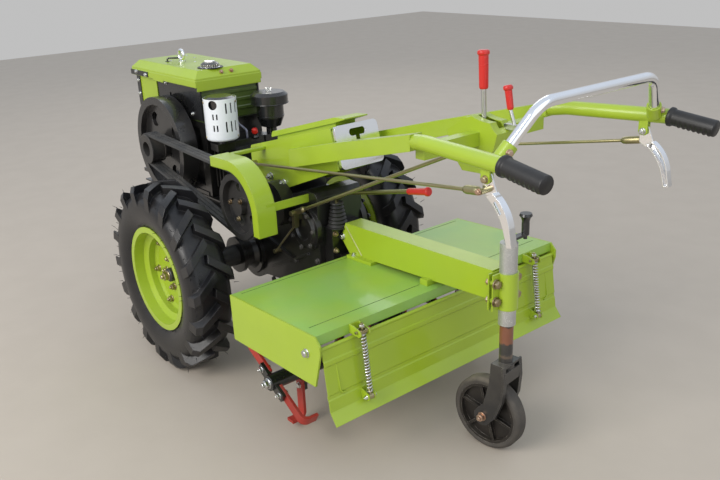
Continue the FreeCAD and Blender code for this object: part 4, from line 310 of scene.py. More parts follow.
def _group_round() -> None:
    """Softly rounded edges, as a normal."""
    soft = Effect(Group.ROUND, "Normal", Radius=0.0012)
    soft.give(soft.node("Bevel", {"Radius": soft.given["Radius"]}, samples=4).outputs[0])


def _group_stain() -> None:
    """Large soft clouds that shift a colour a little, as a mask."""
    cloud = Effect(Group.STAIN, "Mask", Scale=5.0, Sharp=0.2)
    low, high = (cloud.math(way, 0.5, cloud.given["Sharp"]) for way in ("SUBTRACT", "ADD"))
    cloud.give(cloud.ramp(cloud.noise(cloud.given["Scale"], 5.0), low, high))


def _group_band() -> None:
    """A band between two heights with a ragged edge, as a mask."""
    band = Effect(Group.BAND, "Mask", Low=0.0, High=1.0)
    ragged = band.math("SUBTRACT", band.noise(70.0, 4.0, 0.55), 0.5)
    height = band.node("SeparateXYZ", {0: band.place()}).outputs["Z"]
    height = band.math("ADD", height, band.math("MULTIPLY", ragged, 0.02))
    above = band.math("SUBTRACT", height, band.given["Low"])
    below = band.math("SUBTRACT", band.given["High"], height)
    band.give(band.ramp(band.math("MINIMUM", above, below), 0.0, 0.006, 0.0, 0.85))


def build_groups() -> None:
    """Makes every shared shader group."""
    for maker in (_group_speckle, _group_dust, _group_wear, _group_grain,
                  _group_brush, _group_round, _group_stain, _group_band):
        maker()


# ---------------------------------------------------------------- finishes

@dataclass(frozen=True)
class Finish:
    """One finish: its colours and how it shines, wears and gathers dust.

    Attributes:
        name: the material's name.
        base: its main colour.
        shade: the colour that slow clouds bring in.
        slot: the record's material slot of pieces with this finish.
        rough: its roughness.
        metal: how metallic it is, 0 or 1.
        coat: the weight of a clear coat.
        coat_rough: that coat's roughness.
        clouds: how much of the shade shows.
        dust: how much dust lies on it.
        dust_colour: the dust's colour.
        wear: how much its edges are rubbed.
        bare: the colour under it.
        grain: the scale of its fine relief.
        depth: the height of that relief, in metres.
        pits: how pitted the relief is.
        soft: the radius of its soft edges, in metres.
        specular: the level of its mirror part.
        brushed: how much fine lines change its roughness.
        specks: how much of it fine grains cover.
        speck_colour: the colour of those grains.
        bands: heights from and to, in metres, and the colour that lies between them.
    """

    name: str
    base: Colour
    shade: Colour
    slot: str = "zinc_steel"
    rough: float = 0.4
    metal: float = 0.0
    coat: float = 0.0
    coat_rough: float = 0.08
    clouds: float = 0.5
    dust: float = 0.15
    dust_colour: Colour = (0.42, 0.37, 0.30)
    wear: float = 0.0
    bare: Colour = (0.20, 0.19, 0.18)
    grain: float = 260.0
    depth: float = 0.00004
    pits: float = 0.0
    soft: float = 0.0012
    specular: float = 0.5
    brushed: float = 0.0
    specks: float = 0.0
    speck_colour: Colour = (0.6, 0.6, 0.58)
    bands: Tuple[Tuple[float, float, Colour], ...] = ()

    def build(self) -> bpy.types.Material:
        """Makes the material, once.

        Returns:
            The material of this name.
        """
        found = bpy.data.materials.get(self.name)
        if found is not None:
            return found
        material = bpy.data.materials.new(self.name)
        material.use_nodes = True
        wires = Wires(material.node_tree)
        stain = wires.effect(Group.STAIN, Scale=7.0, Sharp=0.22)
        colour = wires.mix(wires.math("MULTIPLY", stain, self.clouds), self.base, self.shade)
        rough = wires.math("ADD", wires.math("MULTIPLY", stain, 0.08), self.rough - 0.03)
        coat = self.coat
        if self.brushed:
            lines = wires.math("SUBTRACT", wires.effect(Group.BRUSH), 0.5)
            rough = wires.math("ADD", rough, wires.math("MULTIPLY", lines, self.brushed), True)
        if self.specks:
            grains = wires.effect(Group.SPECKLE, Scale=420.0, Cover=self.specks)
            colour = wires.mix(wires.math("MULTIPLY", grains, 0.6), colour, self.speck_colour)
        for low, high, tint in self.bands:
            colour = wires.mix(wires.effect(Group.BAND, Low=low, High=high), colour, tint)
        if self.wear:
            colour = wires.mix(wires.effect(Group.WEAR, Amount=self.wear), colour, self.bare)
        if self.dust:
            film = wires.effect(Group.DUST, Amount=self.dust)
            colour = wires.mix(film, colour, self.dust_colour)
            rough = wires.math("ADD", rough, wires.math("MULTIPLY", film, 0.5), True)
            if coat:
                coat = wires.math("MULTIPLY", wires.math("SUBTRACT", 1.0, film), coat)
        bump = wires.node("Bump", {
            "Strength": 1.0, "Distance": self.depth,
            "Height": wires.effect(Group.GRAIN, Scale=self.grain, Pits=self.pits),
            "Normal": wires.effect(Group.ROUND, Radius=self.soft)})
        shader = next(n for n in wires.tree.nodes if n.type == "BSDF_PRINCIPLED")
        for key, value in {"Base Color": colour, "Roughness": rough, "Metallic": self.metal,
                           "Coat Weight": coat, "Coat Roughness": self.coat_rough,
                           "Specular IOR Level": self.specular,
                           "Normal": bump.outputs["Normal"]}.items():
            wires.put(value, shader.inputs[key])
        return material


GREEN = Finish("green_gloss_paint", srgb(161, 186, 42), srgb(153, 178, 46), "green_paint",
               rough=0.36, coat=0.35, coat_rough=0.12, dust=0.08, depth=0.00003, grain=320.0,
               soft=0.0022)
TANK = Finish("tank_dark_green_paint", srgb(72, 92, 34), srgb(60, 78, 30), "tank_green",
              rough=0.36, coat=0.5, dust=0.25)
CASTING = Finish("black_cast_paint", srgb(21, 21, 21), srgb(15, 15, 15), "black_casting",
                 rough=0.30, dust=0.06, grain=420.0, depth=0.00012, pits=0.5, soft=0.0030,
                 coat=0.45, coat_rough=0.14)
BLACK = Finish("black_sheet_paint", srgb(21, 22, 24), srgb(15, 16, 17), "black_paint",
               rough=0.26, coat=0.5, dust=0.07)
IRON = Finish("dark_worn_iron", srgb(46, 46, 47), srgb(60, 56, 52), "black_iron", rough=0.45,
              wear=0.6, bare=srgb(150, 146, 140), grain=380.0, depth=0.0001, pits=0.4)
# painted reflection: the faint blue in the tyre's black base colour stands in for the blue sky
# seen in its gloss
TYRE = Finish("tyre_black_rubber", srgb(19, 20, 24), srgb(28, 28, 30), "tyre_rubber",
              rough=0.30, dust=0.07, grain=420.0, depth=0.00025, specular=0.46, soft=0.004,
              clouds=0.9, dust_colour=srgb(150, 136, 118))
WORN_RUBBER = Finish("worn_grey_rubber", srgb(54, 52, 50), srgb(78, 74, 69), "tail_rubber",
                     rough=0.70, dust=0.45, clouds=0.9, grain=300.0, depth=0.0002,
                     specular=0.35, wear=0.8, bare=srgb(158, 152, 144),
                     dust_colour=srgb(160, 148, 132))
GRIP = Finish("grip_black_rubber", srgb(26, 26, 28), srgb(20, 20, 21), "grip_rubber",
              rough=0.42, dust=0.05, grain=700.0)
BELT = Finish("belt_dark_rubber", srgb(58, 59, 60), srgb(48, 48, 50), "belt_rubber",
              rough=0.65, dust=0.2)
CHROME = Finish("mirror_chrome", srgb(248, 249, 251), srgb(238, 239, 242), "bright_chrome",
                rough=0.13, metal=1.0, dust=0.04, clouds=0.3, depth=0.00001)
ZINC = Finish("olive_zinc", srgb(178, 170, 130), srgb(150, 140, 104), rough=0.34, metal=1.0,
              dust=0.10, brushed=0.2, clouds=0.7)
BRASSY = Finish("worn_brassy_zinc", srgb(196, 184, 150), srgb(128, 104, 78), rough=0.36,
                metal=1.0, dust=0.12, clouds=0.9, depth=0.00002, soft=0.0006)
BRIGHT = Finish("bright_zinc", srgb(222, 223, 222), srgb(190, 191, 188), rough=0.26,
                metal=1.0, dust=0.06, clouds=0.6, depth=0.00002, soft=0.0006)
COPPER = Finish("rusty_zinc", srgb(186, 140, 112), srgb(206, 196, 180), rough=0.42,
                metal=1.0, dust=0.12, clouds=1.0, depth=0.00003, soft=0.0006)
SILVER = Finish("silver_sheet_paint", srgb(176, 176, 172), srgb(158, 157, 152),
                "silver_paint", rough=0.38, metal=0.6)
WHITE = Finish("white_enamel", srgb(234, 238, 242), srgb(222, 227, 232), "white_paint",
               rough=0.22, coat=0.4, dust=0.03, clouds=0.3)
RED = Finish("red_gloss_plastic", srgb(206, 38, 30), srgb(190, 30, 24), "red_plastic",
             rough=0.28, coat=0.3, dust=0.03)
TINE = Finish("tine_red_paint", srgb(176, 46, 34), srgb(140, 40, 32), "red_paint", dust=0.14,
              wear=0.6, bare=srgb(120, 112, 104), clouds=0.8)
HOSE = Finish("grey_hose", srgb(150, 150, 168), srgb(130, 130, 148), "hose_rubber",
              rough=0.35, dust=0.1, clouds=0.4)
WELD = Finish("weld_bead", srgb(196, 196, 130), srgb(150, 158, 84), "green_paint", rough=0.5,
              dust=0.2, clouds=1.0, grain=200.0, depth=0.0003)
# painted shade: this darker green is laid along the cover's fold lines, where shade falls at the
# bends
FOLD_SHADE = Finish("painted_fold_shade", srgb(78, 104, 40), srgb(58, 80, 30), "green_paint", rough=0.7,
              dust=0.1, clouds=0.8)
HOOD = replace(GREEN, name="green_hood_paint", soft=0.0045)

SLOT_FINISH: Dict[str, Finish] = {finish.slot: finish for finish in (
    GREEN, CASTING, BLACK, IRON, TYRE, WORN_RUBBER, GRIP, BELT, CHROME, ZINC, SILVER, WHITE,
    TANK, RED, TINE, HOSE)}
NODE_FINISH: Dict[str, Finish] = {
    "engine_hood": HOOD, "belt_guard": HOOD,
    "tank_cap": replace(CHROME, name="dull_cap_metal", base=srgb(128, 126, 122),
                        shade=srgb(96, 94, 90), rough=0.28, dust=0.12),
    # painted reflection: the cover's base and, more strongly, its cloud shade colour are tinted
    # blue-green to stand in for the sky reflected in the paint
    "tiller_cover": replace(GREEN, name="green_cover_paint_with_painted_sky_reflection", base=srgb(152, 188, 66),
                            shade=srgb(138, 184, 92), coat_rough=0.08, clouds=0.8, dust=0.10),
    "flywheel": Finish("dark_gloss_iron", srgb(30, 30, 32), srgb(38, 36, 35), rough=0.26,
                       coat=0.4, dust=0.08, wear=0.8, bare=srgb(150, 148, 144), grain=380.0,
                       depth=0.00006),
    "lever_rods": Finish("lever_zinc", srgb(168, 164, 112), srgb(140, 134, 92), rough=0.30,
                         metal=1.0, dust=0.06, clouds=0.6,
                         bands=((0.83, 3.0, srgb(214, 215, 218)),)),
    "tail_fork": Finish("tail_fork_paint", srgb(36, 36, 37), srgb(50, 46, 42), rough=0.34,
                        coat=0.3, dust=0.25, wear=0.8, bare=srgb(140, 134, 126),
                        bands=((0.31, 0.365, srgb(132, 78, 52)),
                               (0.272, 0.286, srgb(92, 76, 62)))),
    "tail_sleeve": Finish("galvanised_sleeve", srgb(204, 205, 203), srgb(176, 176, 172),
                          rough=0.42, metal=0.7, dust=0.10, clouds=0.8, specks=0.30,
                          speck_colour=srgb(226, 226, 223)),
    "tail_wheel_hub": Finish("tail_hub_paint", srgb(24, 21, 19), srgb(38, 32, 27), dust=0.12,
                             wear=0.9, bare=srgb(176, 168, 156), clouds=0.8),
}


# ---------------------------------------------------------------- mesh helpers

class Head(Enum):
    """What shows of a fastener."""

    BOLT = "hexagon head on a washer"
    NUT = "nut on a stud with a washer"
    SCREW = "low round head"


# For each hexagon: its height, then radius and height of its tip's corners and the steps
# round it, all as shares of its size over flats.
HEXAGONS = {
    Head.BOLT: (0.42, ((0.0, 0.40), (0.42, 0.40), (0.36, 0.47), (0.0, 0.48)), 18),
    Head.NUT: (0.52, ((0.0, 0.0), (0.30, 0.0), (0.30, 0.80), (0.25, 0.86), (0.0, 0.86)), 14),
}


def aim(axis: Sequence[float], spot: Vector = Vector((0.0, 0.0, 0.0)),
        turn: float = 0.0) -> Matrix:
    """The matrix that stands Z along an axis at a spot.

    Args:
        axis: the way that Z is turned to.
        spot: where the origin goes.
        turn: a turn about the axis, in radians.

    Returns:
        The 4x4 matrix.
    """
    rotation = Vector(UP).rotation_difference(Vector(axis).normalized())
    return (Matrix.Translation(spot) @ rotation.to_matrix().to_4x4()
            @ Matrix.Rotation(turn, 4, "Z"))


def circle(middle: Point, radius: float, count: int, lead: float) -> List[Point]:
    """Points spread on a circle about a crosswise axis.

    Args:
        middle: the circle's middle, in mm.
        radius: its radius, in mm.
        count: how many points there are.
        lead: the first one's angle, in degrees.

    Returns:
        The points.
    """
    x, y, z = middle
    angles = [math.radians(lead + 360.0 / count * number) for number in range(count)]
    return [(x + radius * math.cos(a), y, z + radius * math.sin(a)) for a in angles]


def add_object(name: str, data: bpy.types.ID) -> bpy.types.Object:
    """Puts an object with this data into the scene."""
    piece = bpy.data.objects.new(name, data)
    bpy.context.scene.collection.objects.link(piece)
    return piece


class Form:
    """A mesh that is put together from turned, swept and cut shapes, in the row frame.

    Each method that adds a shape returns the form itself.
    """

    def __init__(self) -> None:
        """Starts an empty mesh."""
        self.mesh = bmesh.new()

    def _take(self, other: bmesh.types.BMesh, matrix: Matrix = Matrix(),
              bevel: float = 0.0, segments: int = 2) -> "Form":
        """Adds another mesh and frees it.

        Args:
            other: the mesh.
            matrix: moves it.
            bevel: the width of its rounded edges, in mm.
            segments: how many faces a rounded edge has.
        """
        if bevel:
            bmesh.ops.bevel(other, geom=other.edges, offset=bevel / 1000.0,
                            segments=segments, affect="EDGES", profile=0.5, material=-1)
        bmesh.ops.transform(other, matrix=matrix, verts=other.verts)
        bmesh.ops.recalc_face_normals(other, faces=other.faces)
        carrier = bpy.data.meshes.new("carrier")
        other.to_mesh(carrier)
        other.free()
        self.mesh.from_mesh(carrier)
        bpy.data.meshes.remove(carrier)
        return self

    def lathe(self, outline: Iterable[Pair], matrix: Matrix, steps: int = 28) -> "Form":
        """Turns an outline about Z.

        Args:
            outline: radius and height of each corner, in mm.
            matrix: places the turned shape, in metres.
            steps: how many faces go round.
        """
        made = bmesh.new()
        dots = [made.verts.new((r / 1000.0, 0.0, h / 1000.0)) for r, h in outline]
        lines = [made.edges.new(pair) for pair in zip(dots, dots[1:])]
        bmesh.ops.spin(made, geom=dots + lines, cent=(0, 0, 0), axis=UP, angle=math.tau,
                       steps=steps, use_merge=True, use_duplicate=False)
        bmesh.ops.remove_doubles(made, verts=made.verts, dist=1e-7)
        return self._take(made, matrix)

    def skin(self, rings: Sequence[Sequence[Vector]]) -> "Form":
        """Lays a closed skin over rings of points, one after the other."""
        made = bmesh.new()
        rows = [[made.verts.new(spot) for spot in ring] for ring in rings]
        sides = len(rows[0])
        for first, last in zip(rows, rows[1:]):
            for step in range(sides):
                after = (step + 1) % sides
                made.faces.new((first[step], first[after], last[after], last[step]))
        made.faces.new(rows[0])
        made.faces.new(rows[-1][::-1])
        return self._take(made)

    def tube(self, route: Sequence[Vector], radius: Union[float, Sequence[float]],
             sides: int) -> "Form":
        """Sweeps a circle along a route.

        Args:
            route: the middle line's points, in metres.
            radius: the circle's radius, in mm, or its radius at each point.
            sides: how many faces go round.
        """
        radii = radius if isinstance(radius, list) else [radius] * len(route)
        rings = []
        up = Vector(UP)
        for number, spot in enumerate(route):
            before = route[max(number - 1, 0)]
            way = (route[min(number + 1, len(route) - 1)] - before).normalized()
            side = way.cross(up)
            if side.length < 1e-3:
                side = way.cross(Vector((1.0, 0.0, 0.0)))
            side.normalize()
            up = side.cross(way).normalized()
            angles = [math.tau * step / sides for step in range(sides)]
            rings.append([spot + (side * math.cos(a) + up * math.sin(a))
                          * (radii[number] / 1000.0) for a in angles])
        return self.skin(rings)

    def block(self, size: Point, matrix: Matrix, bevel: float, segments: int = 2) -> "Form":
        """A block with rounded edges.

        Args:
            size: its three sides, in mm.
            matrix: places its middle.
            bevel: the width of its rounded edges, in mm.
            segments: how many faces a rounded edge has.
        """
        made = bmesh.new()
        bmesh.ops.create_cube(made, size=1.0)
        bmesh.ops.scale(made, vec=Vector(size) / 1000.0, verts=made.verts)
        return self._take(made, matrix, bevel, segments)

    def hexagon(self, across: float, height: float, matrix: Matrix) -> "Form":
        """A hexagon head or nut that stands on its base.

        Args:
            across: its size over two flats, in mm.
            height: its height, in mm.
            matrix: places its base.
        """
        made = bmesh.new()
        radius = across / math.sqrt(3.0) / 1000.0
        bmesh.ops.create_cone(made, cap_ends=True, segments=6, radius1=radius, radius2=radius,
                              depth=height / 1000.0,
                              matrix=Matrix.Translation((0, 0, height / 2000.0)))
        return self._take(made, matrix, across * 0.05)

    def fasten(self, spots: Iterable[Point], head: Head = Head.BOLT, across: float = 13.0,
               axis: Sequence[float] = LEFT, turn: float = 0.3, step: float = 0.0) -> "Form":
        """Adds bolts, nuts or screws that stand on a surface.

        Args:
            spots: the middles of their seats, in mm from the drive axle.
            head: what shows of them.
            across: their size over flats, or their heads' width, in mm.
            axis: the way they stand out.
            turn: the first one's turn about its own axis, in radians.
            step: how much further each one is turned than the last.
        """
        def scaled(outline: Iterable[Pair], low: float = 0.0) -> List[Pair]:
            """An outline at the fastener's size, whose foot is at low, in mm."""
            return [(r * across, h * across if h is not None else low) for r, h in outline]

        for number, spot in enumerate(spots):
            seat = aim(axis, mm(*spot), turn + step * number)
            if head is Head.SCREW:
                self.lathe(scaled(((0.0, None), (0.5, None), (0.5, 0.14), (0.38, 0.27),
                                   (0.0, 0.32)), -0.5), seat, 16)
                continue
            self.lathe(scaled(((0.25, None), (0.68, None), (0.68, 0.10), (0.64, 0.14),
                               (0.25, 0.14)), -0.3), seat, 20)
            base = seat @ Matrix.Translation((0, 0, across * 0.00014))
            height, tip, steps = HEXAGONS[head]
            self.hexagon(across, across * height, base)
            self.lathe(scaled(tip), base, steps)
        return self

    def mirror(self) -> "Form":
        """Adds the same shapes on the other side of the centre plane."""
        made = self.mesh.copy()
        bmesh.ops.scale(made, vec=(1.0, -1.0, 1.0), verts=made.verts)
        bmesh.ops.reverse_faces(made, faces=made.faces)
        return self._take(made)

    def hand_over(self, name: str, finish: Finish, body: str = "tractor",
                  sharp: float = 0.6) -> bpy.types.Object:
        """Makes the finished piece and lets it ride on its body.

        Args:
            name: the piece's name.
            finish: its finish.
            body: the CAD body that it rides on.
            sharp: edges that turn more than this, in radians, stay sharp.

        Returns:
            The finished piece.
        """
        data = bpy.data.meshes.new(name)
        for face in self.mesh.faces:
            face.smooth = True
        for edge in self.mesh.edges:
            if edge.is_manifold and edge.calc_face_angle(0.0) > sharp:
                edge.smooth = False
        self.mesh.to_mesh(data)
        self.mesh.free()
        data.materials.append(finish.build())
        piece = add_object(name, data)
        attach(piece, body)
        LOG.info("%s: %d faces on %s", name, len(data.polygons), body)
        return piece


# ---------------------------------------------------------------- drive wheels

@dataclass
class DriveWheel:
    """The nuts, studs and moulding hairs of one drive wheel.

    Attributes:
        side: 1 for the left wheel and -1 for the right.
        radius: the tyre's radius, in mm.
        disc: the disc's face, outwards of the centre plane, in mm.
        stub: how far the axle's end stands out of it, in mm.
        rings: each ring of nuts: its radius in mm, its count, its first angle in degrees,
            its nuts' size in mm and how much further each one is turned.
        lugs: how many lugs the tyre has on a side.
        hairs: how many hairs stand on each ring of the tyre.
        reach: how far from the centre plane a hair may end, in metres.
        ground: how close to the ground it may end, in metres.
    """

    side: int = 1
    radius: float = 294.0
    disc: float = 372.0
    stub: float = 23.0
    rings: Tuple[Tuple[float, int, float, float, float], ...] = (
        (109.0, 6, 53.0, 17.0, 0.4), (50.0, 5, -3.0, 18.0, 0.7))
    lugs: int = 18
    hairs: int = 54
    reach: float = 0.4495
    ground: float = 0.002

    def build(self) -> None:
        """Adds the fasteners and the hairs."""
        name = SIDE_NAMES[self.side]
        form, axis = Form(), (0.0, float(self.side), 0.0)
        for ring, count, lead, across, step in self.rings:
            form.fasten(circle((0.0, self.side * self.disc, self.radius), ring, count, lead),
                        Head.NUT, across, axis, 0.0, step)
        form.fasten([(0.0, self.side * (self.disc + self.stub), self.radius)], Head.NUT, 24.0,
                    axis)
        form.hand_over(f"wheel_nuts_{name}", BRASSY, f"drive_wheel_{name}")
        hairs = self._hairs(random.Random(7 + self.side))
        hairs.hand_over(f"tyre_hairs_{name}", TYRE, f"drive_wheel_{name}")

    def _hairs(self, dice: random.Random) -> Form:
        """The thin moulding hairs along the bead and the shoulders."""
        form = Form()
        for number in range(self.hairs):
            degrees = 360.0 / self.hairs * number + dice.uniform(-1.5, 1.5)
            if number % 3 != 2:
                self._hair(form, dice, degrees, 170.0, 432.0, (0.0, 1.0), 17.0)
            self._hair(form, dice, degrees + 2.0, 262.0, 441.0, (0.55, 0.45), 13.0)
            if number % 3 == 0:
                lug = 360.0 / self.lugs * (number // 3) + dice.uniform(-2.0, 2.0)
                self._hair(form, dice, lug, 290.0, 438.0, (0.8, 0.35), 17.0)
                self._hair(form, dice, lug + 10.0, 290.0, 322.0, (0.8, -0.35), 17.0)
        return form

    def _hair(self, form: Form, dice: random.Random, degrees: float, ring: float,
              across: float, way: Pair, length: float) -> None:
        """One hair that leans a little.

        Args:
            form: the form it is added to.
            dice: the random numbers.
            degrees: its place round the axle.
            ring: its distance from the axle, in mm.
            across: its distance from the centre plane, in mm.
            way: how far it points out from the axle and out to the side.
            length: its length, in mm.
        """
        angle = math.radians(degrees)
        out = Vector((math.cos(angle), 0.0, math.sin(angle)))
        tip = out * way[0] + Vector((0.0, self.side * way[1], 0.0))
        tip += Vector([dice.uniform(-0.25, 0.25) for _ in range(3)])
        tip.normalize()
        foot = mm(ring * math.cos(angle), self.side * across,
                  self.radius + ring * math.sin(angle))
        long = length * dice.uniform(0.5, 1.0) / 1000.0
        if (foot + tip * long).z < self.ground:
            return
        if abs((foot + tip * long).y) > self.reach:
            long = max(0.002, (self.reach - abs(foot.y)) / max(abs(tip.y), 0.05))
        form.tube([foot - tip * 0.002, foot + tip * long * 0.5, foot + tip * long],
                  [1.0, 0.85, 0.4], 4)


# ---------------------------------------------------------------- engine and hood

@dataclass
class EngineDetails:
    """Bolts, knobs and caps on the hood, the muffler, the air cleaner and the engine.

    Attributes:
        hood_top: the hood's top, in mm.
        shield: the muffler shield's middle line and its radius, in mm.
        shield_heights: the heights of its screws, in mm.
        shield_turns: their places round it, in degrees.
        cleaner: the air cleaner's middle line, in mm.
        head_top: the cylinder head's top, in mm.
    """

    hood_top: float = 870.0
    shield: Point = (112.0, 90.0, 54.0)
    shield_heights: Pair = (669.0, 782.0)
    shield_turns: Point = (75.0, 216.0, 320.0)
    cleaner: Pair = (112.0, -100.0)
    head_top: float = 646.0

    def build(self) -> None:
        """Adds every piece of the engine."""
        self._hood_bolts()
        self._shield_screws()
        self._cleaner_cap()
        self._stop_knob()
        self._tank_cap()
        self._lift_handle()
        self._engine_bolts()

    def _hood_bolts(self) -> None:
        """Bolts of the hood, its straps and the shrouds."""
        Form().fasten(((636.0, 130.0, 832.0), (560.0, 130.0, 827.0), (663.0, 114.0, 796.0),
                       (663.0, 114.0, 747.0), (434.0, 114.0, 811.0), (260.0, 114.0, 723.0)),
                      across=11.0, turn=0.0, step=0.2).mirror().hand_over("hood_side_bolts",
                                                                          BRIGHT)
        Form().fasten([(x, y, self.hood_top) for x, y in (
            (515.0, 47.0), (414.0, 5.0), (228.0, 64.0), (600.0, -60.0), (515.0, -47.0))],
                      Head.SCREW, 9.0, UP).hand_over("hood_top_screws", BRIGHT)
        Form().fasten(((203.0, 22.0, 857.5), (203.0, -16.0, 857.5)), Head.BOLT, 10.0,
                      (-0.69, 0.0, 0.72), 11.0, -19.0).hand_over("hood_rear_bolts", COPPER)

    def _shield_screws(self) -> None:
        """Screws round the muffler shield."""
        x, y, radius = self.shield
        form = Form()
        for angle in map(math.radians, self.shield_turns):
            way = (math.cos(angle), math.sin(angle), 0.0)
            form.fasten([(x + way[0] * radius, y + way[1] * radius, height)
                         for height in self.shield_heights], Head.SCREW, 8.0, way)
        form.hand_over("shield_screws", BRASSY)

    def _cleaner_cap(self) -> None:
        """The wing nut on the air cleaner and the beads round its cap and bowl."""
        top, cap, bowl = (aim(UP, mm(*self.cleaner, z)) for z in (786.0, 746.0, 703.0))
        nut = Form().lathe([(0.0, -0.5), (9.0, -0.5), (9.0, 1.5), (3.2, 1.8), (3.2, 11.0),
                            (2.2, 12.0), (0.0, 12.0)], top, 18)
        for turn in (0.6, 0.6 + math.pi):
            wing = top @ Matrix.Rotation(turn, 4, "Z") @ Matrix.Translation((0.0075, 0.0, 0.008))
            nut.block((11.0, 2.4, 7.5), wing @ Matrix.Rotation(-0.5, 4, "Y"), 1.0)
        nut.hand_over("cleaner_wing_nut", BRIGHT)
        Form().lathe([(62.6, 0.0), (64.2, 0.4), (64.8, 1.8), (64.2, 3.2), (62.6, 3.6)], cap,
                     64).lathe([(45.8, 0.0), (47.2, 0.5), (47.6, 2.0), (47.2, 3.5),
                                (45.8, 4.0)], bowl, 56).hand_over("cleaner_beads", BLACK)

    def _stop_knob(self) -> None:
        """The red knob on its base, on top of the cylinder head."""
        foot = aim((-0.25, 0.25, 1.0), mm(92.0, -22.0, self.head_top))
        Form().lathe([(0.0, -3.0), (11.0, -3.0), (11.0, 4.0), (7.0, 9.0), (7.0, 15.0),
                      (0.0, 15.0)], foot, 24).hand_over("knob_base", CASTING)
        Form().lathe([(0.0, 15.0), (7.5, 15.0), (10.5, 18.0), (11.0, 25.0), (9.0, 31.0),
                      (4.0, 33.5), (0.0, 34.0)], foot).hand_over("red_knob", RED)

    def _tank_cap(self) -> None:
        """The pad under the tank cap, its knurled rim and its raised grip."""
        spot = aim(UP, mm(250.0, 36.0, self.hood_top))
        Form().lathe([(33.0, -0.4), (43.0, -0.4), (43.4, 1.4), (42.4, 2.4), (33.0, 2.6)], spot,
                     56).hand_over("tank_cap_pad", GRIP)
        form = Form().lathe([(30.8, 0.0), (33.4, 0.2), (33.8, 2.4), (32.4, 3.4), (30.8, 3.6)],
                            spot, 48)
        for number in range(24):
            turn = spot @ Matrix.Rotation(math.pi / 12 * number, 4, "Z")
            form.block((1.6, 2.4, 7.0), turn @ Matrix.Translation((0.0311, 0.0, 0.0078)), 0.5, 1)
        grip = Matrix.Rotation(0.7, 4, "Z") @ Matrix.Translation((0.0, 0.0, 0.0202))
        form.block((36.0, 7.0, 6.0), spot @ grip, 2.2, 3).hand_over("tank_cap_grip", CHROME)

    def _lift_handle(self) -> None:
        """The folded dark handle that lies on the hood."""
        feet = ((470.0, 20.0), (512.0, 62.0))
        form = Form().tube([mm(*spot) for spot in (
            (*feet[0], 871.0), (*feet[0], 878.0), (474.0, 24.0, 882.0), (508.0, 58.0, 882.0),
            (*feet[1], 878.0), (*feet[1], 871.0))], 3.2, 12)
        for foot in feet:
            form.lathe([(0.0, -0.4), (8.0, -0.4), (8.0, 1.6), (4.0, 2.4), (0.0, 2.4)],
                       aim(UP, mm(*foot, self.hood_top)), 20)
        form.hand_over("hood_handle", BLACK)

    def _engine_bolts(self) -> None:
        """Bolts of the gearbox cover, the case, the crankcase and the pulleys."""
        case = [(x, 82.0, z) for x, z in (
            (-260.0, 330.0), (-220.0, 250.0), (-120.0, 225.0), (-20.0, 225.0), (60.0, 330.0),
            (72.0, 420.0), (-372.0, 360.0))]
        cover = circle((-330.0, 104.0, 455.0), 57.0, 7, 20.0)
        Form().fasten(cover, across=11.0, turn=0.0, step=0.5).fasten(
            case, turn=0.0, step=0.3).mirror().hand_over("gearbox_bolts", IRON)
        Form().fasten([(387.0, 190.0, 603.0)], Head.NUT, 36.0).hand_over(
            "flywheel_nut", IRON, "flywheel_shaft")
        ring = circle((-200.0, 241.0, 527.0), 34.0, 3, math.degrees(0.3))
        Form().fasten(ring, across=12.0, step=math.tau / 3).hand_over(
            "clutch_bolts", BRASSY, "clutch_shaft")


# ---------------------------------------------------------------- handles and box

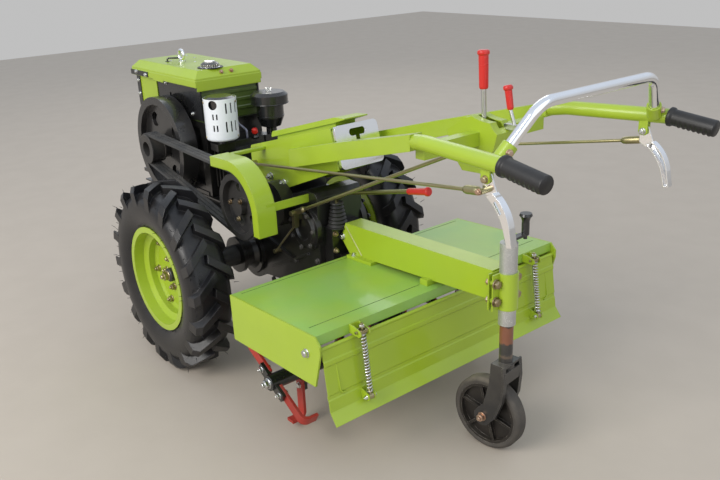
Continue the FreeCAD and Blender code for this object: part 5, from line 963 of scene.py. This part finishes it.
@dataclass
class Handles:
    """Grips, lever joints and the bolts of the handle box.

    Attributes:
        inner: the grip's inner end, in mm.
        outer: its outer end, in mm.
        radius: the grip's radius, in mm.
        flange: the radius of the collar at its inner end, in mm.
        ridge: how far the finger ridges stand out, in mm.
        pitch: the ridges' spacing, in mm.
        stations: how many rings its skin has, less one.
        sides: how many points a ring has.
        joint: the clutch rod's joint at the left lever, in mm.
        pin: its pin at the gearbox, in mm.
        rod: its radius, in mm.
        bar_foot: the left foot of the cross bar, in mm.
        bar_corner: where the bar turns level, in mm.
        bar: the bar's radius, in mm.
    """

    inner: Point = (-1245.0, 278.0, 858.2)
    outer: Point = (-1351.2, 285.9, 843.9)
    radius: float = 18.4
    flange: float = 21.6
    ridge: float = 2.4
    pitch: float = 11.5
    stations: int = 110
    sides: int = 48
    joint: Point = (-1190.0, 274.0, 797.0)
    pin: Point = (-66.0, 101.0, 609.0)
    rod: float = 4.0
    bar_foot: Point = (-1221.0, 255.0, 864.5)
    bar_corner: Point = (-1253.0, 184.0, 960.0)
    bar: float = 11.5

    def build(self) -> None:
        """Adds both grips, the lever joints and the box's bolts."""
        for side in SIDE_NAMES:
            self._grip(side)
        self._lever_joints()
        self._right_rod()
        self._bar_collars()
        self._box_bolts()

    def _reach(self, along: float, length: float) -> float:
        """The grip's radius at a distance from its inner end, in mm."""
        if along < 1.5:
            return self.flange - 1.4 * (1.5 - along)
        if along < 6.5:
            return self.flange
        if along < 13.0:
            ease = 0.5 + 0.5 * math.cos(math.pi * (along - 6.5) / 6.5)
            return self.radius + (self.flange - self.radius) * ease
        return self.radius - 0.7 * max(0.0, along - length + 2.0)

    def _grip(self, side: int) -> None:
        """One rubber grip with its collar and finger ridges, on the left (1) or right (-1)."""
        start, end = (mm(x, side * y, z) for x, y, z in (self.inner, self.outer))
        way = (end - start).normalized()
        length = (end - start).length * 1000.0
        across = way.cross(Vector(UP)).normalized()
        up = across.cross(way).normalized()
        rings = []
        for number in range(self.stations + 1):
            along = length * number / self.stations
            spot = start + way * (along / 1000.0)
            ring = []
            for step in range(self.sides):
                angle = math.tau * step / self.sides
                reach = self._reach(along, length)
                below = max(0.0, -math.sin(angle)) ** 0.7
                if 22.0 < along < length - 8.0:
                    wave = 0.5 - 0.5 * math.cos(math.tau * (along - 22.0) / self.pitch)
                    reach += self.ridge * below * (wave ** 1.5 - 0.35)
                if along > 13.0 and abs(math.sin(angle)) < 0.09:
                    reach += 0.35
                ring.append(spot + (across * math.cos(angle) + up * math.sin(angle))
                            * (reach / 1000.0))
            rings.append(ring)
        name = SIDE_NAMES[side]
        piece = Form().skin(rings).hand_over(f"rubber_grip_{name}", GRIP, sharp=1.0)
        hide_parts(f"grip_{name}")

    def _lever_joints(self) -> None:
        """Bolts at the steering levers' pivots and lock nuts of their rods."""
        joint = mm(*self.joint)
        way = (mm(*self.pin) - joint).normalized()
        Form().hexagon(11.0, 7.0, aim(way, joint + way * 0.0335)).fasten(
            [(-1195.0, 258.0, 820.0)], Head.NUT, 12.0, RIGHT).mirror().hand_over(
                "lever_nuts", BRIGHT)
        Form().fasten([(-1195.0, 269.0, 820.0)], across=12.0).mirror().hand_over(
            "lever_pivot_bolts", BRASSY)
        Form().fasten([(-1190.0, 281.0, 797.0)], across=10.0).mirror().hand_over(
            "clevis_bolts", COPPER)

    def _right_rod(self) -> None:
        """The right lever's clutch rod: its joint, its rod, its pin and its arm."""
        joint, pin = (mm(x, -y, z) for x, y, z in (self.joint, self.pin))
        arm = Matrix.Translation(mm(self.pin[0], -97.0, self.pin[2] - 24.5))
        Form().lathe([(0.0, 0.0), (4.0, 0.0), (7.4, 5.0), (9.0, 12.0), (9.0, 42.0), (8.0, 49.0),
                      (5.0, 54.0), (0.0, 54.0)], aim(pin - joint, joint)).tube(
            [joint, pin], self.rod, 16).lathe(
            [(0.0, -7.5), (6.0, -7.5), (6.0, 7.5), (0.0, 7.5)],
            aim(LEFT, joint + Vector((-0.002, 0.0015, 0.0))), 24).lathe(
            [(0.0, -7.0), (7.0, -7.0), (7.0, 21.0), (0.0, 21.0)], aim(LEFT, pin), 24).block(
            (16.0, 6.0, 65.0), arm, 1.5).hand_over("right_clutch_rod", ZINC)

    def _bar_collars(self) -> None:
        """The green collars that hold the feet of the cross bar, with their bolts."""
        foot = mm(*self.bar_foot)
        way = (mm(*self.bar_corner) - foot).normalized()
        outer, inner = self.bar + 4.5, self.bar + 0.3
        Form().lathe([(inner, 0.0), (outer, 0.0), (outer, 32.0), (outer - 1.2, 33.5),
                      (inner, 33.5), (inner, 0.0)], aim(way, foot - way * 0.004),
                     36).mirror().hand_over("bar_collars", GREEN)
        out = Vector((-0.9, 0.44, 0.0)).normalized()
        out = (out - way * out.dot(way)).normalized()
        spot = (foot + way * 0.014 + out * (outer / 1000.0)) * 1000.0
        Form().fasten([(spot.x - AXLE_X, spot.y, spot.z)], Head.BOLT, 11.0, out,
                      0.4).mirror().hand_over("collar_bolts", COPPER)

    def _box_bolts(self) -> None:
        """Bolts in the handle box's sides and its guard strap."""
        Form().fasten([(-273.0, 80.0, 653.0)], across=16.0).mirror().hand_over(
            "box_arm_bolts", BRASSY)
        Form().fasten([(-148.0, 80.0, 579.0), (-218.0, 80.0, 571.0)], Head.NUT, 18.0, turn=0.1,
                      step=0.5).fasten([(-322.0, 82.0, 543.0)], across=12.0).mirror().hand_over(
                          "box_side_nuts", BRIGHT)


# ---------------------------------------------------------------- tiller

@dataclass
class TillerDetails:
    """The springs, bolts and painted fold shade of the rotary tiller.

    Attributes:
        foot: the left spring rod's foot, in mm.
        head: its head, in mm.
        coil: the middle radius of the coil, in mm.
        wire: the wire's radius, in mm.
        turns: how many turns a spring has.
        ends: where the coil starts and ends along the rod, in mm.
        kept: the share of its length that it keeps with the apron open; not used.
        cover_side: the cover's half width, in mm.
        cover_front: the place and height of the cover's front edge, in mm.
        cover_rise: how much it rises for each mm further back.
        boot: the gear lever boot's middle line, in mm.
        boot_heights: its foot and its top, in mm.
        boot_radii: its radius at both.
        ribs: how many ribs it has.
        rotor: the rotor shaft's place and height, in mm.
        rotor_end: the shaft's end, from the centre plane, in mm.
        holder_bolt: how far from the shaft's middle a blade's bolt sits, in mm.
        holders: each pair of blade holders: its distance from the centre plane in mm, its
            angle in degrees and the side that each blade lies on.
        bead: the place and height of the apron's lower and upper bead, in mm.
        bead_side: how far from the centre plane the beads end, in mm.
    """

    foot: Point = (-882.0, 314.0, 226.0)
    head: Point = (-860.0, 314.0, 401.0)
    coil: float = 7.1
    wire: float = 2.0
    turns: float = 18.0
    ends: Pair = (17.0, 160.0)
    kept: float = 0.88
    cover_side: float = 425.0
    cover_front: Pair = (-451.0, 387.0)
    cover_rise: float = 18.0 / 379.0
    boot: Pair = (-410.0, 30.0)
    boot_heights: Pair = (467.0, 542.0)
    boot_radii: Pair = (28.5, 17.5)
    ribs: int = 6
    rotor: Pair = (-575.0, 165.0)
    rotor_end: float = 410.0
    holder_bolt: float = 45.0
    holders: Tuple[Tuple[float, float, Tuple[int, int]], ...] = (
        (70.0, 0.0, (1, 1)), (150.0, 60.0, (1, -1)), (230.0, 120.0, (-1, 1)),
        (310.0, 180.0, (1, -1)), (390.0, 240.0, (-1, -1)))
    bead: Tuple[Pair, Pair] = ((-857.5, 250.0), (-845.5, 335.0))
    bead_side: float = 384.0

    def build(self) -> None:
        """Adds every piece of the tiller."""
        self._springs()
        self._cover_bolts()
        self._painted_fold_shades()
        self._beam_welds()
        self._lever_boot()
        self._rotor_bolts()
        self._case_bolts()
        self._apron_pieces()

    def _cover_top(self, x: float) -> float:
        """The height of the cover's top at a place, in mm."""
        return self.cover_front[1] + (self.cover_front[0] - x) * self.cover_rise

    def _springs(self) -> None:
        """Both wound springs with their end washers, and the nuts of their rods."""
        foot, head = mm(*self.foot), mm(*self.head)
        way = (head - foot).normalized()
        side = way.cross(Vector(LEFT)).normalized()
        other = way.cross(side).normalized()
        low, high = self.ends
        steps = int(self.turns * 14)
        route = []
        for share in (number / steps for number in range(steps + 1)):
            angle = math.tau * self.turns * share
            eased = share + 0.010 * math.sin(math.tau * share)
            spot = foot + way * ((low + (high - low) * eased) / 1000.0)
            route.append(spot + (side * math.cos(angle) + other * math.sin(angle))
                         * (self.coil / 1000.0))
        form = Form().tube(route, self.wire, 8)
        for along in (low - 3.0, high + 0.8):
            form.lathe([(4.6, 0.0), (9.6, 0.0), (9.6, 1.6), (4.6, 1.6), (4.6, 0.0)],
                       aim(way, foot + way * (along / 1000.0)), 24)
        piece = form.mirror().hand_over("wound_springs", BRIGHT, "spring_rods")
        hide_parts("springs")
        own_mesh(piece)
        Form().hexagon(12.0, 6.0, aim(way, foot + way * 0.178)).mirror().hand_over(
            "spring_rod_nuts", BRIGHT, "spring_rods")

    def _cover_bolts(self) -> None:
        """Bolts on the cover and the end plates."""
        form = Form()
        for x, y in ((-485.0, 34.0), (-518.0, 17.0), (-485.0, -34.0), (-518.0, -17.0),
                     (-778.0, 16.0), (-778.0, -16.0)):
            form.fasten([(x, y, self._cover_top(x) + 2.0)], Head.NUT, 15.0, UP, 0.1 * y)
        form.hand_over("beam_foot_nuts", BRIGHT)
        Form().fasten([(-794.0, self.cover_side + 5.0, 351.0)], across=17.0,
                      turn=0.2).mirror().hand_over("end_plate_bolts", BRIGHT)

    def _painted_fold_shades(self) -> None:
        """Dark strips of painted shade along the fold lines at the front and the rear of the
        cover.
        """
        form = Form()
        for x, start, end in ((-468.0, 45.0, 405.0), (-778.0, 52.0, 408.0)):
            spot = mm(x, (start + end) / 2.0, self._cover_top(x) + 0.15)
            # a thin dark strip of painted shade on each fold line
            form.block((1.5, end - start, 0.9), Matrix.Translation(spot), 0.3, 1)
        form.mirror().hand_over("cover_fold_shade_strips", FOLD_SHADE)

    def _beam_welds(self) -> None:
        """The weld beads along the beam's slanted front joint and the bolts below them."""
        start, end = mm(-449.0, 30.0, 477.0), mm(-517.0, 30.0, 403.0)
        steps = 46
        Form().tube([start.lerp(end, n / steps) for n in range(steps + 1)],
                    [1.9 + 0.55 * (n % 2) for n in range(steps + 1)],
                    10).mirror().hand_over("beam_welds", WELD)
        Form().fasten([(-432.0, 30.0, 441.0)], across=15.0, turn=0.4).mirror().hand_over(
            "beam_corner_bolts", BRIGHT)

    def _lever_boot(self) -> None:
        """The ribbed rubber boot of the gear lever on the tiller drive."""
        (low, high), (wide, narrow) = self.boot_heights, self.boot_radii
        outline = [(wide + 4.0, low - 1.0), (wide + 4.0, low + 3.0), (wide, low + 4.0)]
        for number in range(self.ribs * 6 + 1):
            share = number / (self.ribs * 6)
            swell = 2.0 * math.cos(math.tau * number / 6.0)
            outline.append((wide + (narrow - wide) * share + swell,
                            low + 5.0 + (high - low - 9.0) * share))
        outline += [(narrow + 1.5, high - 3.0), (narrow + 1.0, high), (0.0, high)]
        Form().lathe(outline, aim(UP, mm(*self.boot, 0.0)), 40).hand_over(
            "lever_boot_bellows", GRIP)

    def _rotor_bolts(self) -> None:
        """The nuts at the rotor shaft's ends and a bolt and nut for each blade."""
        x, z = self.rotor
        Form().fasten([(x, self.rotor_end, z)], Head.NUT, 22.0, turn=0.5).mirror().hand_over(
            "rotor_end_nuts", BRIGHT, "rotor")
        form = Form()
        for number, (across, first, ways) in enumerate(self.holders):
            for turn, way in zip((0.0, math.pi), ways):
                angle = math.radians(first) + turn
                ahead, height = (self.holder_bolt * share(angle) for share in (math.sin, math.cos))
                for head, out, spin in ((Head.BOLT, 4.0, 0.7), (Head.NUT, -14.0, 0.4)):
                    for side in SIDE_NAMES:
                        form.fasten([(x + side * ahead, side * (across + way * out), z + height)],
                                    head, 13.0, (0.0, side * math.copysign(way, way * out), 0.0),
                                    number * spin)
        form.hand_over("blade_bolts", BRIGHT, "rotor")

    def _case_bolts(self) -> None:
        """Nuts round the tiller drive's flange."""
        Form().fasten([(-423.0, y, z) for y in (-52.0, 52.0) for z in (345.0, 400.0, 452.0)],
                      Head.NUT, axis=BACK).hand_over("drive_flange_nuts", BRASSY)

    def _apron_pieces(self) -> None:
        """The pivots of the spring feet and the upright ends of the apron's pressed bead."""
        x, y, z = self.foot
        Form().fasten([(x, y + 11.0, z)], Head.NUT, 9.0, turn=0.2).fasten(
            [(x, y - 11.0, z)], Head.BOLT, 9.0, RIGHT, 0.2).mirror().hand_over(
                "spring_foot_nuts", BRIGHT, "apron")
        (low_x, low), (high_x, high) = self.bead
        route = [(low_x, -14.0, low), (low_x, -5.0, low + 2.0), (low_x, 0.0, low + 11.0),
                 (high_x, 0.0, high - 11.0), (high_x, -5.0, high - 2.0), (high_x, -14.0, high)]
        Form().tube([mm(x, self.bead_side + y, z) for x, y, z in route], 2.6,
                    12).mirror().hand_over("apron_bead_ends", GREEN, "apron")


# ---------------------------------------------------------------- tail wheel

@dataclass
class TailDetails:
    """The bolts of the tail clamp, the crank's nut and the wheel's axle nuts.

    Attributes:
        post: the post's place ahead of the axle, in mm.
        crank_height: the seat of the crank's nut, in mm.
        turn: the caster's turn about the post, in radians.
        trail: the wheel's axle behind the post, in mm.
        axle_height: the axle's height, in mm.
        fork_side: the outer faces of the fork, from its middle, in mm.
        clamp_side: the clamp bolts' distance from the centre plane, in mm.
        clamp_heights: their heights, in mm.
        clamp_faces: the clamp's rear and front faces, in mm.
    """

    post: float = -1032.0
    crank_height: float = 585.0
    turn: float = math.radians(7.5)
    trail: float = 43.0
    axle_height: float = 100.0
    fork_side: float = 35.0
    clamp_side: float = 36.0
    clamp_heights: Pair = (432.0, 478.0)
    clamp_faces: Pair = (-1026.0, -1009.0)

    def build(self) -> None:
        """Adds the bolts and nuts."""
        for name, finish, face, way, across, turn in (
                ("clamp_bolt_heads", BRASSY, self.clamp_faces[0], -1.0, 19.0, 0.2),
                ("clamp_nuts", COPPER, self.clamp_faces[1], 1.0, 16.0, 0.6)):
            form = Form()
            for z in self.clamp_heights:
                form.fasten([(face, self.clamp_side, z)], Head.BOLT, across, (way, 0.0, 0.0),
                            turn + z)
            form.mirror().hand_over(name, finish)
        Form().fasten([(self.post, 0.0, self.crank_height)], Head.NUT, 14.0, UP).hand_over(
            "crank_nut", BRIGHT)
        way = Vector((-math.sin(self.turn), math.cos(self.turn), 0.0))
        middle = Vector((self.post + self.trail * math.cos(self.turn),
                         self.trail * math.sin(self.turn), self.axle_height))
        form = Form()
        for side in SIDE_NAMES:
            form.fasten([middle + way * (side * self.fork_side)], Head.NUT, 18.0, way * side)
        form.hand_over("tail_axle_nuts", COPPER, "tail_caster")


# ---------------------------------------------------------------- camera and studio

@dataclass
class Camera:
    """The viewpoint that the picture was solved for.

    Attributes:
        place: where the lens stands, in mm from the drive axle.
        yaw: its turn about Z from the X axis, in radians.
        down: how far it looks down, in radians.
        roll: its roll, in radians.
        focal: its focal length in pixels of a picture as wide as width.
        width: that picture's width, in pixels.
        sensor: the sensor's width, in mm.
    """

    place: Point = (-2165.5, 1351.5, 1249.9)
    yaw: float = -0.674
    down: float = 0.361
    roll: float = -0.041
    focal: float = 792.9
    width: float = 720.0
    sensor: float = 36.0

    def build(self) -> None:
        """Adds the camera and makes it the scene's."""
        ahead = Vector((math.cos(self.yaw) * math.cos(self.down),
                        math.sin(self.yaw) * math.cos(self.down), -math.sin(self.down)))
        right = ahead.cross(Vector(UP)).normalized()
        up = right.cross(ahead)
        turned = right * math.cos(self.roll) + up * math.sin(self.roll)
        upright = up * math.cos(self.roll) - right * math.sin(self.roll)
        data = bpy.data.cameras.new("main_camera")
        data.sensor_width = self.sensor
        data.lens = self.focal / self.width * self.sensor
        data.clip_start = 0.05
        camera = add_object("main_camera", data)
        columns = Matrix((turned, upright, -ahead)).transposed().to_4x4()
        camera.matrix_world = Matrix.Translation(mm(*self.place)) @ columns
        bpy.context.scene.camera = camera


@dataclass
class Studio:
    """A plain pale floor, a soft sky and large lights.

    Attributes:
        floor_half: half the floor's width, in metres.
        floor_colour: the floor's colour.
        sky: the sky's colour overhead.
        horizon: its colour at the horizon.
        sky_strength: its strength.
        lights: each light's name, place, target and side in metres, power in watts and
            colour.
    """

    floor_half: float = 9.0
    floor_colour: Colour = srgb(188, 177, 163)
    sky: Colour = (0.80, 0.88, 1.0)
    horizon: Colour = (0.64, 0.64, 0.64)
    sky_strength: float = 0.82
    lights: Tuple[Tuple[str, Point, Point, float, float, Colour], ...] = (
        ("key_light", (-0.3, 4.7, 3.0), (0.0, 0.0, 0.4), 3.0, 195.0, (1.0, 0.97, 0.92)),
        ("fill_light", (-4.2, 0.6, 2.6), (0.2, 0.0, 0.5), 4.8, 42.0, (0.95, 0.97, 1.0)),
        ("back_light", (3.6, -3.0, 3.4), (0.2, 0.0, 0.6), 2.6, 28.0, (1.0, 1.0, 1.0)))

    def build(self) -> None:
        """Adds the floor, the sky and the lights."""
        self._floor()
        self._sky()
        for name, place, target, side, power, colour in self.lights:
            data = bpy.data.lights.new(name, "AREA")
            data.shape, data.size, data.energy, data.color = "SQUARE", side, power, colour
            spot = Vector(place)
            way = (Vector(target) - spot).to_track_quat("-Z", "Y").to_matrix().to_4x4()
            add_object(name, data).matrix_world = Matrix.Translation(spot) @ way
        bpy.context.scene.view_settings.view_transform = "Standard"

    def _floor(self) -> None:
        """The floor, under the wheels."""
        mesh = bpy.data.meshes.new("studio_floor")
        form = bmesh.new()
        bmesh.ops.create_grid(form, x_segments=1, y_segments=1, size=self.floor_half)
        form.to_mesh(mesh)
        form.free()
        shade = tuple(c * 0.95 for c in self.floor_colour)
        mesh.materials.append(Finish("studio_floor_paint", self.floor_colour, shade, rough=0.85,
                                     dust=0.0, clouds=0.6, depth=0.0001, soft=0.0001).build())
        add_object("studio_floor", mesh)

    def _sky(self) -> None:
        """A soft sky that is brighter above than at the horizon."""
        world = bpy.data.worlds.new("soft_sky")
        bpy.context.scene.world = world
        world.use_nodes = True
        wires = Wires(world.node_tree)
        back = next(n for n in world.node_tree.nodes if n.type == "BACKGROUND")
        place = wires.node("TexCoord").outputs["Generated"]
        height = wires.ramp(wires.node("SeparateXYZ", {0: place}).outputs["Z"], -0.05, 0.65)
        wires.put(wires.mix(height, self.horizon, self.sky), back.inputs["Color"])
        wires.put(self.sky_strength, back.inputs["Strength"])


def dress_nodes(frame: Dict[str, object]) -> None:
    """Gives every CAD node the finish of its slot.
    """
    for row in frame["record"]["subparts"]:
        node = frame["nodes"][row["node"]]
        material = NODE_FINISH.get(row["node"], SLOT_FINISH[row["material_slot"]]).build()
        if not node.material_slots:
            node.data.materials.append(None)
        for place in node.material_slots:
            place.link = "OBJECT"
            place.material = material
        LOG.info("%s takes %s", row["node"], material.name)


def main() -> None:
    """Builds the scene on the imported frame."""
    logging.basicConfig(level=logging.INFO, format="%(message)s")
    bpy.ops.wm.read_factory_settings(use_empty=True)
    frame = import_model()
    build_groups()
    Camera().build()
    Studio().build()
    dress_nodes(frame)
    for part in (DriveWheel(1), DriveWheel(-1), EngineDetails(), Handles(), TillerDetails(),
                 TailDetails()):
        part.build()


if __name__ == "__main__":
    main()
